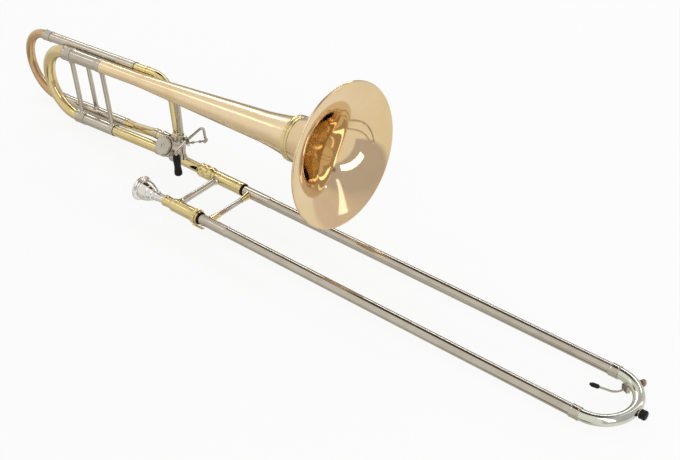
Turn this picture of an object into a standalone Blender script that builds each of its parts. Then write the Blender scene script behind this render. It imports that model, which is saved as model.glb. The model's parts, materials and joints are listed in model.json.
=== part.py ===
"""Tenor trombone with an open-wrap F attachment, built piece by piece.

Frame: metres, +X along the hand slide towards its bow, +Z up, square to the slide's two tubes.
The origin is on the upper slide tube's axis, at the joint where the left hand holds the slide.
"""

import math

import bmesh
import bpy
from mathutils import Matrix, Vector

MM = 0.001

# Shared fits
GAP = 0.3 * MM
SLIDING_FIT = 0.2 * MM
TURNING_FIT = 0.35 * MM
WALL = 0.5 * MM
BRACE_SPREAD = 2.2 * MM
BRACE_FLARE_LENGTH = 6.0 * MM

# Facets
ROUND_STEPS = 20
PIPE_RESOLUTION = 5
VALVE_SIDES = 28
FLARE_SIDES = 36
FLARE_STEPS = 9
RIM_STEPS = 6
CROOK_STEPS = 18
BOW_STEPS = 16

# Hand slide
SLIDE_SPACING = 93.0 * MM
INNER_TUBE_RADIUS = 7.25 * MM
INNER_TUBE_WALL = 0.35 * MM
OUTER_TUBE_WALL = 0.3 * MM
INNER_TUBE_END = 690.0 * MM
BARREL_START = 5.0 * MM
BARREL_END = 62.0 * MM
BARREL_RADIUS = 10.2 * MM
BARREL_COLLAR = 6.0 * MM
BARREL_RING_LENGTH = 2.4 * MM
BARREL_RING_STAND = 0.4 * MM
OUTER_TUBE_START = 66.0 * MM
OUTER_SLEEVE_LENGTH = 53.0 * MM
OUTER_SLEEVE_STEP = 0.35 * MM
INNER_BRACE_PLACE = 10.5 * MM
INNER_BRACE_RADIUS = 4.9 * MM
OUTER_BRACE_PLACE = 78.0 * MM
OUTER_BRACE_RADIUS = 3.9 * MM
BRACE_FOOT_LENGTH = 15.0 * MM
BRACE_FOOT_RADIUS = 5.6 * MM
CROOK_JOINT = 709.0 * MM
CROOK_START = 713.0 * MM
CROOK_WALL = 0.6 * MM
CROOK_FERRULE_LENGTH = 13.0 * MM
CROOK_FERRULE_WALL = 0.7 * MM

# Mouthpiece and its receiver
MOUTHPIECE_LENGTH = 85.0 * MM
MOUTHPIECE_RIM_RADIUS = 19.6 * MM
MOUTHPIECE_RIM_PLACE = -67.0 * MM
MOUTHPIECE_CUP_RADIUS = 12.8 * MM
MOUTHPIECE_CUP_DEPTH = 24.0 * MM
MOUTHPIECE_THROAT_RADIUS = 3.5 * MM
MOUTHPIECE_SHANK_RADIUS = 6.3 * MM
MOUTHPIECE_SHANK_END_RADIUS = 5.9 * MM
RECEIVER_START = -13.0 * MM
RECEIVER_RADIUS = 8.6 * MM
LEADPIPE_LENGTH = 180.0 * MM
LEADPIPE_RADIUS = 6.6 * MM
LEADPIPE_WALL = 0.45 * MM

# Slide lock
LOCK_RING_LENGTH = 7.0 * MM
LOCK_RING_WALL = 1.2 * MM
LOCK_HOOK_REACH = 21.0 * MM
LOCK_HOOK_THICKNESS = 1.6 * MM
LOCK_HOOK_WIDTH = 6.0 * MM
LOCK_HOOK_TURN = math.radians(155)
LOCK_HOOK_LIFT = 0.8 * MM
LOCK_STUD_RADIUS = 1.2 * MM
LOCK_STUD_HEIGHT = 4.5 * MM
LOCK_STUD_TURN = math.radians(36)

# Joint between hand slide and bell section
TENON_WALL = 1.0 * MM
TENON_INSERTION = 21.0 * MM
LOCK_NUT_START = -31.0 * MM
LOCK_NUT_END = -1.0 * MM
LOCK_NUT_LIP = 6.0 * MM
LOCK_NUT_WALL = 1.7 * MM
NECK_FLANGE_LENGTH = 1.9 * MM

# Bow bumper and water key on the slide's bow
BUMPER_HOLDER_RADIUS = 4.6 * MM
BUMPER_HOLDER_LENGTH = 4.5 * MM
BUMPER_RADIUS = 6.3 * MM
BUMPER_LENGTH = 9.5 * MM
WATER_KEY_TURN = math.radians(28.5)
NIPPLE_TILT = math.radians(18)
WATER_KEY_PIVOT_INSET = 10.0 * MM
WATER_KEY_PIVOT_DROP = 6.0 * MM
WATER_KEY_WIRE_RADIUS = 1.5 * MM
WATER_KEY_TIP_REACH = 63.0 * MM
WATER_KEY_TIP_RISE = 22.0 * MM
NIPPLE_RADIUS = 3.0 * MM
NIPPLE_BORE_RADIUS = 1.6 * MM
NIPPLE_HEIGHT = 4.0 * MM
WATER_KEY_CORK_RADIUS = 4.2 * MM
WATER_KEY_CORK_LENGTH = 3.6 * MM
WATER_KEY_CUP_THICKNESS = 1.4 * MM
WATER_KEY_TIP_RADIUS = 2.9 * MM
WATER_KEY_TIP_LENGTH = 15.0 * MM

# Bell section, measured back from the rim along the bell's axis
BELL_RADIUS = 106.0 * MM
BELL_TILT = math.radians(3.76)
BELL_REACH = 408.3 * MM
BELL_WALL = 0.6 * MM
BELL_BEAD_RADIUS = 1.7 * MM
HORN_POWER = 0.655
HORN_LENGTH = 16.4 * MM
CONE_START = 420.0 * MM
CONE_END = 150.0 * MM
STEM_RADIUS = 11.0 * MM
FLARE_JOINT = 84.0 * MM
SCREW_RING_WALL = 1.6 * MM
STEM_RING_LENGTH = 6.0 * MM
FLARE_RING_LENGTH = 5.0 * MM

# Main tuning slide
TUNING_SPACING = 117.6 * MM
BOW_LEAD = 2.5 * MM
BOW_DEPTH = 54.3 * MM
SLEEVE_START = 579.0 * MM
SLEEVE_END = 506.5 * MM
TUNING_BOW_START = 601.5 * MM
TUNING_LEG_INSERTION = 68.0 * MM
LOWER_SLEEVE_RADIUS = 9.75 * MM
LOWER_LEG_RADIUS = 8.75 * MM
TUNING_FERRULE_STAND = 1.0 * MM
TUNING_BRACE_RADIUS = 4.0 * MM
TUNING_BRACE_PLACE = 588.0 * MM
SLEEVE_BRACE_PLACE = 513.0 * MM

# Tuning slide of the F attachment
F_OFFSET = 27.0 * MM
F_SLEEVE_START = 667.0 * MM
F_UPPER_SLEEVE_END = 457.5 * MM
F_LOWER_SLEEVE_END = 509.0 * MM
F_BOW_START = 687.0 * MM
F_LEG_INSERTION = 140.0 * MM
F_SLEEVE_RADIUS = 8.25 * MM
F_FERRULE_STAND = 0.9 * MM
F_PIPE_RADIUS = 7.5 * MM
F_BRACE_PLACE = 585.0 * MM
F_BRACE_RADIUS = 3.75 * MM
F_BEND_PLACE = 379.0 * MM
F_BEND_RADIUS = 40.0 * MM
F_RETURN_LEAD = 16.0 * MM
F_RETURN_BEND = 22.0 * MM
F_RETURN_STRAIGHT = 22.0 * MM

# Rotary valve, upright direction and tilt of its axis taken at its centre
VALVE_X = -102.8 * MM
VALVE_OFFSET = 10.5 * MM
VALVE_TILT = math.radians(35)
ROTOR_RADIUS = 15.0 * MM
ROTOR_HALF = 12.5 * MM
ROTOR_BORE_RADIUS = 5.7 * MM
CASING_WALL = 1.8 * MM
CASING_HALF = 16.0 * MM
STUB_RADIUS = 9.0 * MM
STUB_BORE_RADIUS = 7.0 * MM
STUB_REACH = 24.0 * MM
F_PORT_ACROSS = 4.0 * MM
F_PORT_REACH = 20.5 * MM
F_PORT_BEND = 12.0 * MM
F_RETURN_OFFSET = 10.0 * MM
CAP_THICKNESS = 5.0 * MM
CAP_RADIUS = 15.0 * MM
BACK_PLATE_THICKNESS = 2.8 * MM
SPINDLE_RADIUS = 3.0 * MM
STOP_ARM_RADIUS = 13.75 * MM
STOP_ARM_REST = math.radians(70)
STOP_ARM_SWING = math.radians(90)
STOP_ARM_THICKNESS = 2.4 * MM
STOP_ARM_WIDTH = 4.8 * MM
STOP_POST_PLACE = 11.0 * MM
STOP_POST_RADIUS = 1.6 * MM
STOP_PLAY = 0.5 * MM
STOP_STUD = 7.4 * MM
BALL_RADIUS = 2.0 * MM
BALL_NECK_RADIUS = 1.1 * MM
EYE_PLAY = 1.4 * MM
EYE_WALL = 1.2 * MM
EYE_THICKNESS = 2.2 * MM
EYE_ROLL = math.radians(-30)
LINK_ROD_RADIUS = 1.3 * MM
ROD_NUT_RADIUS = 2.7 * MM
ROD_NUT_LENGTH = 2.4 * MM

# Gooseneck and bell brace
GOOSENECK_RADIUS = 7.75 * MM
GOOSENECK_WALL = 0.6 * MM
BELL_BRACE_X = -67.0 * MM
BELL_BRACE_RADIUS = 3.9 * MM

# Thumb lever
LEVER_AXIS_OFFSET = 11.0 * MM
LEVER_AXIS_Z = 43.0 * MM
LEVER_ROD_RADIUS = 2.2 * MM
LEVER_BEND_RADIUS = 6.0 * MM
LEVER_SADDLE_WALL = 1.5 * MM
GRIP_PLACE = -22.0 * MM
GRIP_TOP = 25.0 * MM
GRIP_LENGTH = 36.5 * MM
GRIP_RADIUS = 6.5 * MM
LEVER_FAR_REACH = 35.0 * MM
LEVER_BALL_LEAD = 4.0 * MM
LEVER_FAR_RISE = 9.0 * MM
LEVER_BALL_Z = 26.0 * MM
LEVER_STUD = 5.0 * MM
LEVER_SOCKET = 1.6 * MM

# Small hinges, used by the thumb lever and the water key
HINGE_PIN_RADIUS = 1.1 * MM
HINGE_BARREL_RADIUS = 2.9 * MM
HINGE_EAR_THICKNESS = 1.8 * MM
HINGE_BARREL_LENGTH = 9.0 * MM
HINGE_FIT = 0.35 * MM

# Derived sizes
OUTER_TUBE_BORE = INNER_TUBE_RADIUS + SLIDING_FIT
OUTER_TUBE_RADIUS = OUTER_TUBE_BORE + OUTER_TUBE_WALL
OUTER_SLEEVE_RADIUS = OUTER_TUBE_RADIUS + OUTER_SLEEVE_STEP
CROOK_BEND = SLIDE_SPACING / 2
CROOK_APEX = CROOK_START + CROOK_BEND + OUTER_TUBE_RADIUS
TENON_BORE = GOOSENECK_RADIUS + GAP
TENON_RADIUS = TENON_BORE + TENON_WALL
LOCK_NUT_BORE = TENON_RADIUS + TURNING_FIT
LOCK_NUT_RADIUS = LOCK_NUT_BORE + LOCK_NUT_WALL
UPPER_LEG_RADIUS = STEM_RADIUS - WALL - SLIDING_FIT
LOWER_INNER_LEG_RADIUS = LOWER_SLEEVE_RADIUS - WALL - SLIDING_FIT
F_LEG_RADIUS = F_SLEEVE_RADIUS - WALL - SLIDING_FIT
CHAMBER_RADIUS = ROTOR_RADIUS + GAP
CASING_RADIUS = CHAMBER_RADIUS + CASING_WALL
STOP_ARM_PLANE = -(CASING_HALF + BACK_PLATE_THICKNESS + 3 * GAP + STOP_ARM_THICKNESS / 2)
STOP_BALL_PLANE = STOP_ARM_PLANE - STOP_ARM_THICKNESS / 2 - STOP_STUD

NEAR = Vector((0.0, -SLIDE_SPACING, 0.0))
FAR = Vector((0.0, 0.0, 0.0))
X_AXIS = Vector((1.0, 0.0, 0.0))
Y_AXIS = Vector((0.0, 1.0, 0.0))
Z_AXIS = Vector((0.0, 0.0, 1.0))
BELL_DIRECTION = Vector((math.cos(BELL_TILT), 0.0, math.sin(BELL_TILT)))
BELL_DOWN = Vector((math.sin(BELL_TILT), 0.0, -math.cos(BELL_TILT)))
VALVE_AXIS = Vector((0.0, -math.cos(VALVE_TILT), math.sin(VALVE_TILT)))
VALVE_UP = Vector((0.0, math.sin(VALVE_TILT), math.cos(VALVE_TILT)))
VALVE_CENTRE = Vector((VALVE_X, 0.0, 0.0)) + VALVE_UP * VALVE_OFFSET
LOWER_LEG_CORNER = Vector((VALVE_X - STUB_REACH - 5 * MM, 0.0, 0.0))
BELL_RIM = LOWER_LEG_CORNER + BELL_DIRECTION * BELL_REACH - BELL_DOWN * TUNING_SPACING
LEVER_AXIS_X = BELL_BRACE_X + LEVER_AXIS_OFFSET
LEVER_BALL = Vector((LEVER_AXIS_X + LEVER_BALL_LEAD, LEVER_FAR_REACH, LEVER_BALL_Z))

YELLOW_BRASS = ("yellow_brass", (0.55, 0.42, 0.16), 1.0, 0.22)
GOLD_BRASS = ("gold_brass", (0.62, 0.43, 0.22), 1.0, 0.2)
NICKEL = ("nickel_silver", (0.5, 0.47, 0.42), 1.0, 0.25)
SILVER = ("silver_plate", (0.75, 0.74, 0.71), 1.0, 0.12)
RUBBER = ("black_rubber", (0.012, 0.012, 0.012), 0.0, 0.6)
CORK = ("natural_cork", (0.45, 0.25, 0.14), 0.0, 0.85)

PARTS_NAME = "tenor_trombone"


def clear_scene():
    """Empty the scene of every object it holds."""
    for item in list(bpy.data.objects):
        bpy.data.objects.remove(item, do_unlink=True)


def collection(name):
    """Return the named collection, made and linked when it is missing."""
    group = bpy.data.collections.get(name)
    if group is None:
        group = bpy.data.collections.new(name)
        bpy.context.scene.collection.children.link(group)
    return group


def material(finish):
    """Return the Principled material of a finish: name, colour, metallic, roughness."""
    name, colour, metallic, roughness = finish
    found = bpy.data.materials.get(name)
    if found is None:
        found = bpy.data.materials.new(name)
        found.use_nodes = True
        shader = found.node_tree.nodes["Principled BSDF"]
        shader.inputs["Base Color"].default_value = (*colour, 1.0)
        shader.inputs["Metallic"].default_value = metallic
        shader.inputs["Roughness"].default_value = roughness
        found.diffuse_color = (*colour, 1.0)
    return found


def pivot(name, place, parent=None):
    """Make the empty that a moving body turns or slides on."""
    empty = bpy.data.objects.new(name, None)
    empty.empty_display_size = 0.02
    collection(PARTS_NAME).objects.link(empty)
    empty.parent = parent
    bpy.context.view_layer.update()
    empty.matrix_world = Matrix.Translation(place)
    return empty


def facing(place, direction):
    """Placement whose local Z runs along a direction."""
    return Matrix.Translation(place) @ Z_AXIS.rotation_difference(direction).to_matrix().to_4x4()


def framed(place, x, y, z):
    """Placement with its three local axes given."""
    turn = Matrix((x, y, z)).transposed().to_4x4()
    return Matrix.Translation(place) @ turn


def link_part(name, mesh, finish, placement, parent=None):
    """Put a mesh in the scene as a named part in its place."""
    part = bpy.data.objects.new(name, mesh)
    collection(PARTS_NAME).objects.link(part)
    part.data.materials.clear()
    part.data.materials.append(material(finish))
    part.parent = parent
    bpy.context.view_layer.update()
    part.matrix_world = placement
    return part


def weld_mesh(mesh):
    """Close the seams of a mesh and turn its faces outwards."""
    work = bmesh.new()
    work.from_mesh(mesh)
    bmesh.ops.remove_doubles(work, verts=work.verts, dist=1e-6)
    bmesh.ops.recalc_face_normals(work, faces=work.faces)
    work.to_mesh(mesh)
    work.free()


def settle(part, smooth_angle=35):
    """Bake a part's modifiers into its mesh, close its seams and shade it."""
    finish = part.data.materials[0]
    baked = bpy.data.meshes.new_from_object(part.evaluated_get(bpy.context.evaluated_depsgraph_get()))
    part.modifiers.clear()
    baked.name = part.name
    part.data = baked
    baked.materials.clear()
    baked.materials.append(finish)
    weld_mesh(baked)
    baked.shade_smooth()
    baked.set_sharp_from_angle(angle=math.radians(smooth_angle))
    return part


def turned(name, finish, placement, outer, inner=(), parent=None, steps=ROUND_STEPS):
    """Turn a profile about local Z.

    outer and inner list (height, radius) pairs of the two sides from bottom to top. The profile is
    closed to a ring unless its ends lie on the axis.
    """
    outline = [(radius, height) for height, radius in reversed(outer)]
    outline += [(radius, height) for height, radius in inner]
    edges = [(i, i + 1) for i in range(len(outline) - 1)]
    if outline[0][0] > 0.0:
        edges.append((len(outline) - 1, 0))
    mesh = bpy.data.meshes.new(name)
    mesh.from_pydata([(radius, 0.0, height) for radius, height in outline], edges, [])
    part = link_part(name, mesh, finish, placement, parent)
    screw = part.modifiers.new("turn", "SCREW")
    screw.steps = steps
    screw.render_steps = steps
    screw.use_merge_vertices = True
    screw.merge_threshold = 0.000001
    return settle(part)


def straight(start, end, radius):
    """Profile of a plain side between two heights."""
    return [(start, radius), (end, radius)]


def solid_side(points):
    """Profile of a solid piece: the side's points, closed to the axis at both ends."""
    return [(points[0][0], 0.0)] + list(points) + [(points[-1][0], 0.0)]


def ball_side(centre, radius, neck, steps=6):
    """Profile of a ball's lower side up to the neck that carries it."""
    last = math.pi - math.asin(neck / radius)
    return [(centre - radius * math.cos(last * i / steps), radius * math.sin(last * i / steps))
            for i in range(steps + 1)]


def tube(name, finish, placement, start, end, radius, wall, parent=None):
    """A plain open tube along local Z."""
    return turned(name, finish, placement, straight(start, end, radius),
                  straight(start, end, radius - wall), parent)


def rod(name, finish, placement, start, end, radius, parent=None, steps=ROUND_STEPS):
    """A plain solid rod along local Z."""
    shape = bmesh.new()
    bmesh.ops.create_cone(shape, cap_ends=True, segments=steps, radius1=radius, radius2=radius,
                          depth=end - start)
    bmesh.ops.translate(shape, vec=(0.0, 0.0, (start + end) / 2), verts=shape.verts)
    mesh = bpy.data.meshes.new(name)
    shape.to_mesh(mesh)
    shape.free()
    return settle(link_part(name, mesh, finish, placement, parent))


def block(name, finish, placement, size, parent=None):
    """A plain box centred on its placement."""
    shape = bmesh.new()
    bmesh.ops.create_cube(shape, size=1.0)
    bmesh.ops.scale(shape, vec=size, verts=shape.verts)
    mesh = bpy.data.meshes.new(name)
    shape.to_mesh(mesh)
    shape.free()
    return link_part(name, mesh, finish, placement, parent)


def swept(name, finish, points, radii, wall=None, parent=None, resolution=PIPE_RESOLUTION):
    """Sweep a round section along points: a pipe when a wall is given, else a solid rod."""
    curve = bpy.data.curves.new(name, "CURVE")
    curve.dimensions = "3D"
    curve.bevel_depth = 1.0
    curve.bevel_resolution = resolution
    curve.use_fill_caps = wall is None
    spline = curve.splines.new("POLY")
    spline.points.add(len(points) - 1)
    for knot, place, radius in zip(spline.points, points, radii):
        knot.co = (*place, 1.0)
        knot.radius = radius
    guide = bpy.data.objects.new(name + "_path", curve)
    collection(PARTS_NAME).objects.link(guide)
    bpy.context.view_layer.update()
    mesh = bpy.data.meshes.new_from_object(guide.evaluated_get(bpy.context.evaluated_depsgraph_get()))
    bpy.data.objects.remove(guide, do_unlink=True)
    weld_mesh(mesh)
    part = link_part(name, mesh, finish, Matrix.Identity(4), parent)
    if wall is not None:
        shell = part.modifiers.new("wall", "SOLIDIFY")
        shell.thickness = wall
        shell.offset = -1.0
        shell.use_even_offset = True
    return settle(part)


def combine(part, other, operation):
    """Join a helper shape to a part, or cut it out, and drop the helper."""
    collection(PARTS_NAME).objects.unlink(other)
    collection("cutters").objects.link(other)
    other.hide_render = True
    other.display_type = "WIRE"
    step = part.modifiers.new(operation.lower(), "BOOLEAN")
    step.operation = operation
    step.solver = "EXACT"
    step.object = other
    settle(part)
    bpy.data.objects.remove(other, do_unlink=True)
    return part


def arc(centre, start, across, angle, count):
    """Points on an arc: from centre + start, turning towards across by an angle."""
    return [centre + start * math.cos(angle * i / count) + across * math.sin(angle * i / count)
            for i in range(count + 1)]


def rounded_path(corners, radii, step_angle=math.radians(9)):
    """Path through corner points, each inner corner rounded to its own bend radius."""
    path = [corners[0]]
    for i in range(1, len(corners) - 1):
        before = (corners[i - 1] - corners[i]).normalized()
        after = (corners[i + 1] - corners[i]).normalized()
        turn = math.pi - before.angle(after)
        reach = radii[i - 1] * math.tan(turn / 2)
        centre = corners[i] + (before + after).normalized() * (radii[i - 1] / math.cos(turn / 2))
        first = corners[i] + before * reach
        start = first - centre
        path += arc(centre, start, -before * radii[i - 1], turn, max(2, math.ceil(turn / step_angle)))
    return path + [corners[-1]]


def strut(name, finish, start, end, radius, ends, axis, parent):
    """A round bar between two tubes' axes, its flared ends hollowed to sit on the tubes."""
    length = (end - start).length
    first = ends[0] + GAP + BRACE_FLARE_LENGTH
    last = length - ends[1] - GAP - BRACE_FLARE_LENGTH
    side = [(ends[0] / 2, radius + BRACE_SPREAD), (first - BRACE_FLARE_LENGTH / 2, radius + MM),
            (first, radius), (last, radius), (last + BRACE_FLARE_LENGTH / 2, radius + MM),
            (length - ends[1] / 2, radius + BRACE_SPREAD)]
    bar = turned(name, finish, facing(start, (end - start).normalized()), solid_side(side), (), parent)
    for place, tube_radius in ((start, ends[0]), (end, ends[1])):
        cutter = rod(name + "_seat", finish, facing(place, axis), -30 * MM, 30 * MM, tube_radius + GAP)
        combine(bar, cutter, "DIFFERENCE")
    return bar


def bell_place(back, down=0.0, offset=0.0):
    """A point in the bell section: back from the rim, down from the bell's axis, offset along Y."""
    return BELL_RIM - BELL_DIRECTION * back + BELL_DOWN * down + Y_AXIS * offset


def bell_axis(down=0.0, offset=0.0):
    """Placement on a line parallel to the bell's axis, local Z towards the mouth, zero at the rim."""
    return facing(bell_place(0.0, down, offset), BELL_DIRECTION)


def slide_axis(tube_place):
    """Placement on a slide tube's axis, local Z along +X."""
    return facing(tube_place, X_AXIS)


def valve_place(across=0.0, up=0.0, along=0.0):
    """A point at the valve: across along +X, up square to its axis, along the axis to the cap."""
    return VALVE_CENTRE + X_AXIS * across + VALVE_UP * up + VALVE_AXIS * along


def valve_frame(across=0.0, up=0.0, along=0.0):
    """Placement at the valve with local Z along its axis."""
    return framed(valve_place(across, up, along), X_AXIS, VALVE_UP, VALVE_AXIS)


def spread(start, end, count):
    """Evenly spaced values from start to end."""
    return [start + (end - start) * i / count for i in range(count + 1)]


def horn_radius(back):
    """Outer radius of the bell near its mouth: R (b / (b + back)) ** p."""
    return BELL_RADIUS * (HORN_LENGTH / (HORN_LENGTH + back)) ** HORN_POWER


def horn_place(radius):
    """Distance back from the rim at which the horn's curve has a radius."""
    return HORN_LENGTH * ((BELL_RADIUS / radius) ** (1.0 / HORN_POWER) - 1.0)


def bell_radius(back):
    """Outer radius of bell and stem: a plain tube, then a cone, then the horn's curve."""
    if back <= CONE_END:
        return horn_radius(back)
    share = min(1.0, (back - CONE_END) / (CONE_START - CONE_END))
    return horn_radius(CONE_END) + (STEM_RADIUS - horn_radius(CONE_END)) * share


def bell_slope(back):
    """Growth of the bell's radius towards the mouth at a distance back from the rim."""
    half = 0.2 * MM
    return (bell_radius(back - half) - bell_radius(back + half)) / (2 * half)


def bell_side(places, inset=0.0):
    """Profile of the bell at distances back from the rim, inset square to the wall."""
    points = []
    for back in places:
        slope = bell_slope(back)
        length = math.sqrt(1.0 + slope * slope)
        points.append((-back + inset * slope / length, bell_radius(back) - inset / length))
    return points


def rim_bead(back):
    """Profile of the rolled rim: round the back of a wire laid behind the wall's edge, to its front."""
    slope = bell_slope(back)
    length = math.sqrt(1.0 + slope * slope)
    (edge_height, edge_radius), = bell_side((back,), BELL_WALL - BELL_BEAD_RADIUS)
    reach = math.acos(1.0 - BELL_WALL / BELL_BEAD_RADIUS)
    profile = []
    for angle in spread(reach - math.pi, math.pi, RIM_STEPS):
        out = BELL_BEAD_RADIUS * math.cos(angle)
        along = BELL_BEAD_RADIUS * math.sin(angle)
        profile.append((edge_height + (along - out * slope) / length,
                        edge_radius + (out + along * slope) / length))
    return profile


def build_inner_slide(root):
    """The fixed half of the hand slide: barrels, rings, inner tubes, brace and receivers."""
    bore = OUTER_TUBE_RADIUS + TURNING_FIT
    collar = INNER_TUBE_RADIUS + GAP
    shoulder = BARREL_START + BARREL_COLLAR
    for side, line in (("near", NEAR), ("far", FAR)):
        axis = slide_axis(line)
        turned(f"{side}_barrel", YELLOW_BRASS, axis,
               [(BARREL_START, BARREL_RADIUS - 1.2 * MM), (BARREL_START + 2 * MM, BARREL_RADIUS - 0.3 * MM),
                (BARREL_END - 6 * MM, BARREL_RADIUS - 0.3 * MM), (BARREL_END - 5 * MM, BARREL_RADIUS),
                (BARREL_END, BARREL_RADIUS)],
               [(BARREL_START, collar), (shoulder, collar), (shoulder, bore), (BARREL_END, bore)], root)
        ring_radius = BARREL_RADIUS + BARREL_RING_STAND
        tube(f"{side}_barrel_ring", RUBBER, axis, BARREL_END + GAP, BARREL_END + GAP + BARREL_RING_LENGTH,
             ring_radius, ring_radius - bore, root)
        tube(f"{side}_inner_tube", NICKEL, axis, BARREL_START + GAP, INNER_TUBE_END, INNER_TUBE_RADIUS,
             INNER_TUBE_WALL, root)

    end = BARREL_START - GAP
    body = RECEIVER_RADIUS - 0.5 * MM
    turned("mouthpiece_receiver", YELLOW_BRASS, slide_axis(NEAR),
           [(RECEIVER_START, RECEIVER_RADIUS - 0.6 * MM), (RECEIVER_START + 1.5 * MM, RECEIVER_RADIUS),
            (RECEIVER_START + 5 * MM, RECEIVER_RADIUS), (RECEIVER_START + 6 * MM, body), (end, body)],
           straight(RECEIVER_START, end, MOUTHPIECE_SHANK_RADIUS + GAP), root)
    leadpipe_start = MOUTHPIECE_RIM_PLACE + MOUTHPIECE_LENGTH + 2 * GAP
    tube("leadpipe", YELLOW_BRASS, slide_axis(NEAR), leadpipe_start, leadpipe_start + LEADPIPE_LENGTH,
         LEADPIPE_RADIUS, LEADPIPE_WALL, root)
    turned("slide_tenon", YELLOW_BRASS, slide_axis(FAR),
           straight(LOCK_NUT_END - TENON_INSERTION, BARREL_START - GAP, TENON_RADIUS),
           straight(LOCK_NUT_END - TENON_INSERTION, BARREL_START - GAP, TENON_BORE), root)
    strut("inner_slide_brace", NICKEL, X_AXIS * INNER_BRACE_PLACE, NEAR + X_AXIS * INNER_BRACE_PLACE,
          INNER_BRACE_RADIUS, (BARREL_RADIUS, BARREL_RADIUS), X_AXIS, root)


def build_slide_lock(root):
    """The ring that locks the hand slide, with its hook, turning on the near barrel."""
    body = pivot("slide_lock_axis", NEAR + X_AXIS * BARREL_END, root)
    bore = BARREL_RADIUS + TURNING_FIT
    start = BARREL_END - LOCK_RING_LENGTH - 3 * MM
    ring = tube("slide_lock_ring", YELLOW_BRASS, slide_axis(NEAR), start, start + LOCK_RING_LENGTH,
                bore + LOCK_RING_WALL, LOCK_RING_WALL, body)
    turn = Matrix.Rotation(LOCK_HOOK_TURN, 4, "X")
    outward = turn.to_3x3() @ Z_AXIS
    lift = bore + LOCK_RING_WALL + LOCK_HOOK_THICKNESS / 2 + LOCK_HOOK_LIFT
    arm = block("hook_arm", YELLOW_BRASS,
                Matrix.Translation(NEAR + outward * lift + X_AXIS * (start + LOCK_HOOK_REACH / 2)) @ turn,
                (LOCK_HOOK_REACH, LOCK_HOOK_WIDTH, LOCK_HOOK_THICKNESS))
    foot_lift = bore + LOCK_RING_WALL / 2 + (LOCK_HOOK_LIFT + LOCK_HOOK_THICKNESS) / 2
    foot_place = NEAR + outward * foot_lift + X_AXIS * (start + LOCK_RING_LENGTH / 2)
    foot = block("hook_foot", YELLOW_BRASS, Matrix.Translation(foot_place) @ turn,
                 (LOCK_RING_LENGTH - MM, LOCK_HOOK_WIDTH - MM, LOCK_HOOK_LIFT + LOCK_HOOK_THICKNESS))
    combine(arm, foot, "UNION")
    combine(ring, arm, "UNION")


def build_lock_nut(root):
    """The nut that draws bell section and hand slide together over the gooseneck's flange."""
    body = pivot("lock_nut_axis", X_AXIS * LOCK_NUT_START, root)
    lip = LOCK_NUT_START + LOCK_NUT_LIP
    neck = GOOSENECK_RADIUS + TURNING_FIT
    turned("lock_nut", YELLOW_BRASS, slide_axis(FAR),
           [(LOCK_NUT_START, neck + 1.4 * MM), (LOCK_NUT_START + 3 * MM, LOCK_NUT_RADIUS - 0.8 * MM),
            (LOCK_NUT_START + 5 * MM, LOCK_NUT_RADIUS), (LOCK_NUT_END - 4 * MM, LOCK_NUT_RADIUS),
            (LOCK_NUT_END - 1.5 * MM, LOCK_NUT_RADIUS - 0.9 * MM),
            (LOCK_NUT_END, LOCK_NUT_RADIUS - 0.9 * MM)],
           [(LOCK_NUT_START, neck), (lip, neck), (lip, LOCK_NUT_BORE), (LOCK_NUT_END, LOCK_NUT_BORE)], body)


def build_mouthpiece(root):
    """The cup mouthpiece, seated by its taper in the receiver."""
    body = pivot("mouthpiece_axis", NEAR, root)
    rim = MOUTHPIECE_RIM_RADIUS
    start = MOUTHPIECE_RIM_PLACE
    cup_end = start + MOUTHPIECE_CUP_DEPTH
    end = start + MOUTHPIECE_LENGTH
    shank = MOUTHPIECE_SHANK_RADIUS
    outer = [(start + 0.4 * MM, rim - 2.0 * MM), (start + 2.2 * MM, rim), (start + 4.5 * MM, rim - 1.2 * MM),
             (start + 7 * MM, rim - 4.2 * MM), (start + 16 * MM, rim - 5.2 * MM),
             (start + 24 * MM, rim - 6.6 * MM), (start + 32 * MM, rim - 9.5 * MM),
             (start + 39 * MM, shank + 0.6 * MM), (start + 50 * MM, shank),
             (end, MOUTHPIECE_SHANK_END_RADIUS)]
    cup = [(start + 0.4 * MM, MOUTHPIECE_CUP_RADIUS + 1.8 * MM)]
    for share in spread(0.0, 1.0, 5):
        radius = MOUTHPIECE_CUP_RADIUS * math.sqrt(1.0 - (0.94 * share) ** 2)
        cup.append((start + 2 * MM + (MOUTHPIECE_CUP_DEPTH - 3 * MM) * share,
                    max(radius, MOUTHPIECE_THROAT_RADIUS)))
    cup.append((cup_end + 6 * MM, MOUTHPIECE_THROAT_RADIUS))
    cup.append((end, MOUTHPIECE_SHANK_END_RADIUS - 0.9 * MM))
    turned("mouthpiece", SILVER, slide_axis(NEAR), outer, cup, body)


def crook_path():
    """Centre line of the hand slide's bow."""
    lead = CROOK_JOINT + GAP / 2
    bend_centre = Vector((CROOK_START, -SLIDE_SPACING / 2, 0.0))
    bend = arc(bend_centre, Y_AXIS * CROOK_BEND, X_AXIS * CROOK_BEND, math.pi, CROOK_STEPS)
    return [X_AXIS * lead] + bend + [NEAR + X_AXIS * lead]


def crook_envelope():
    """Solid shape of the bow with the fitting gap, to cut the feet of what sits on it."""
    path = crook_path()
    return swept("crook_envelope", NICKEL, path, [OUTER_TUBE_RADIUS + GAP] * len(path))


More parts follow.
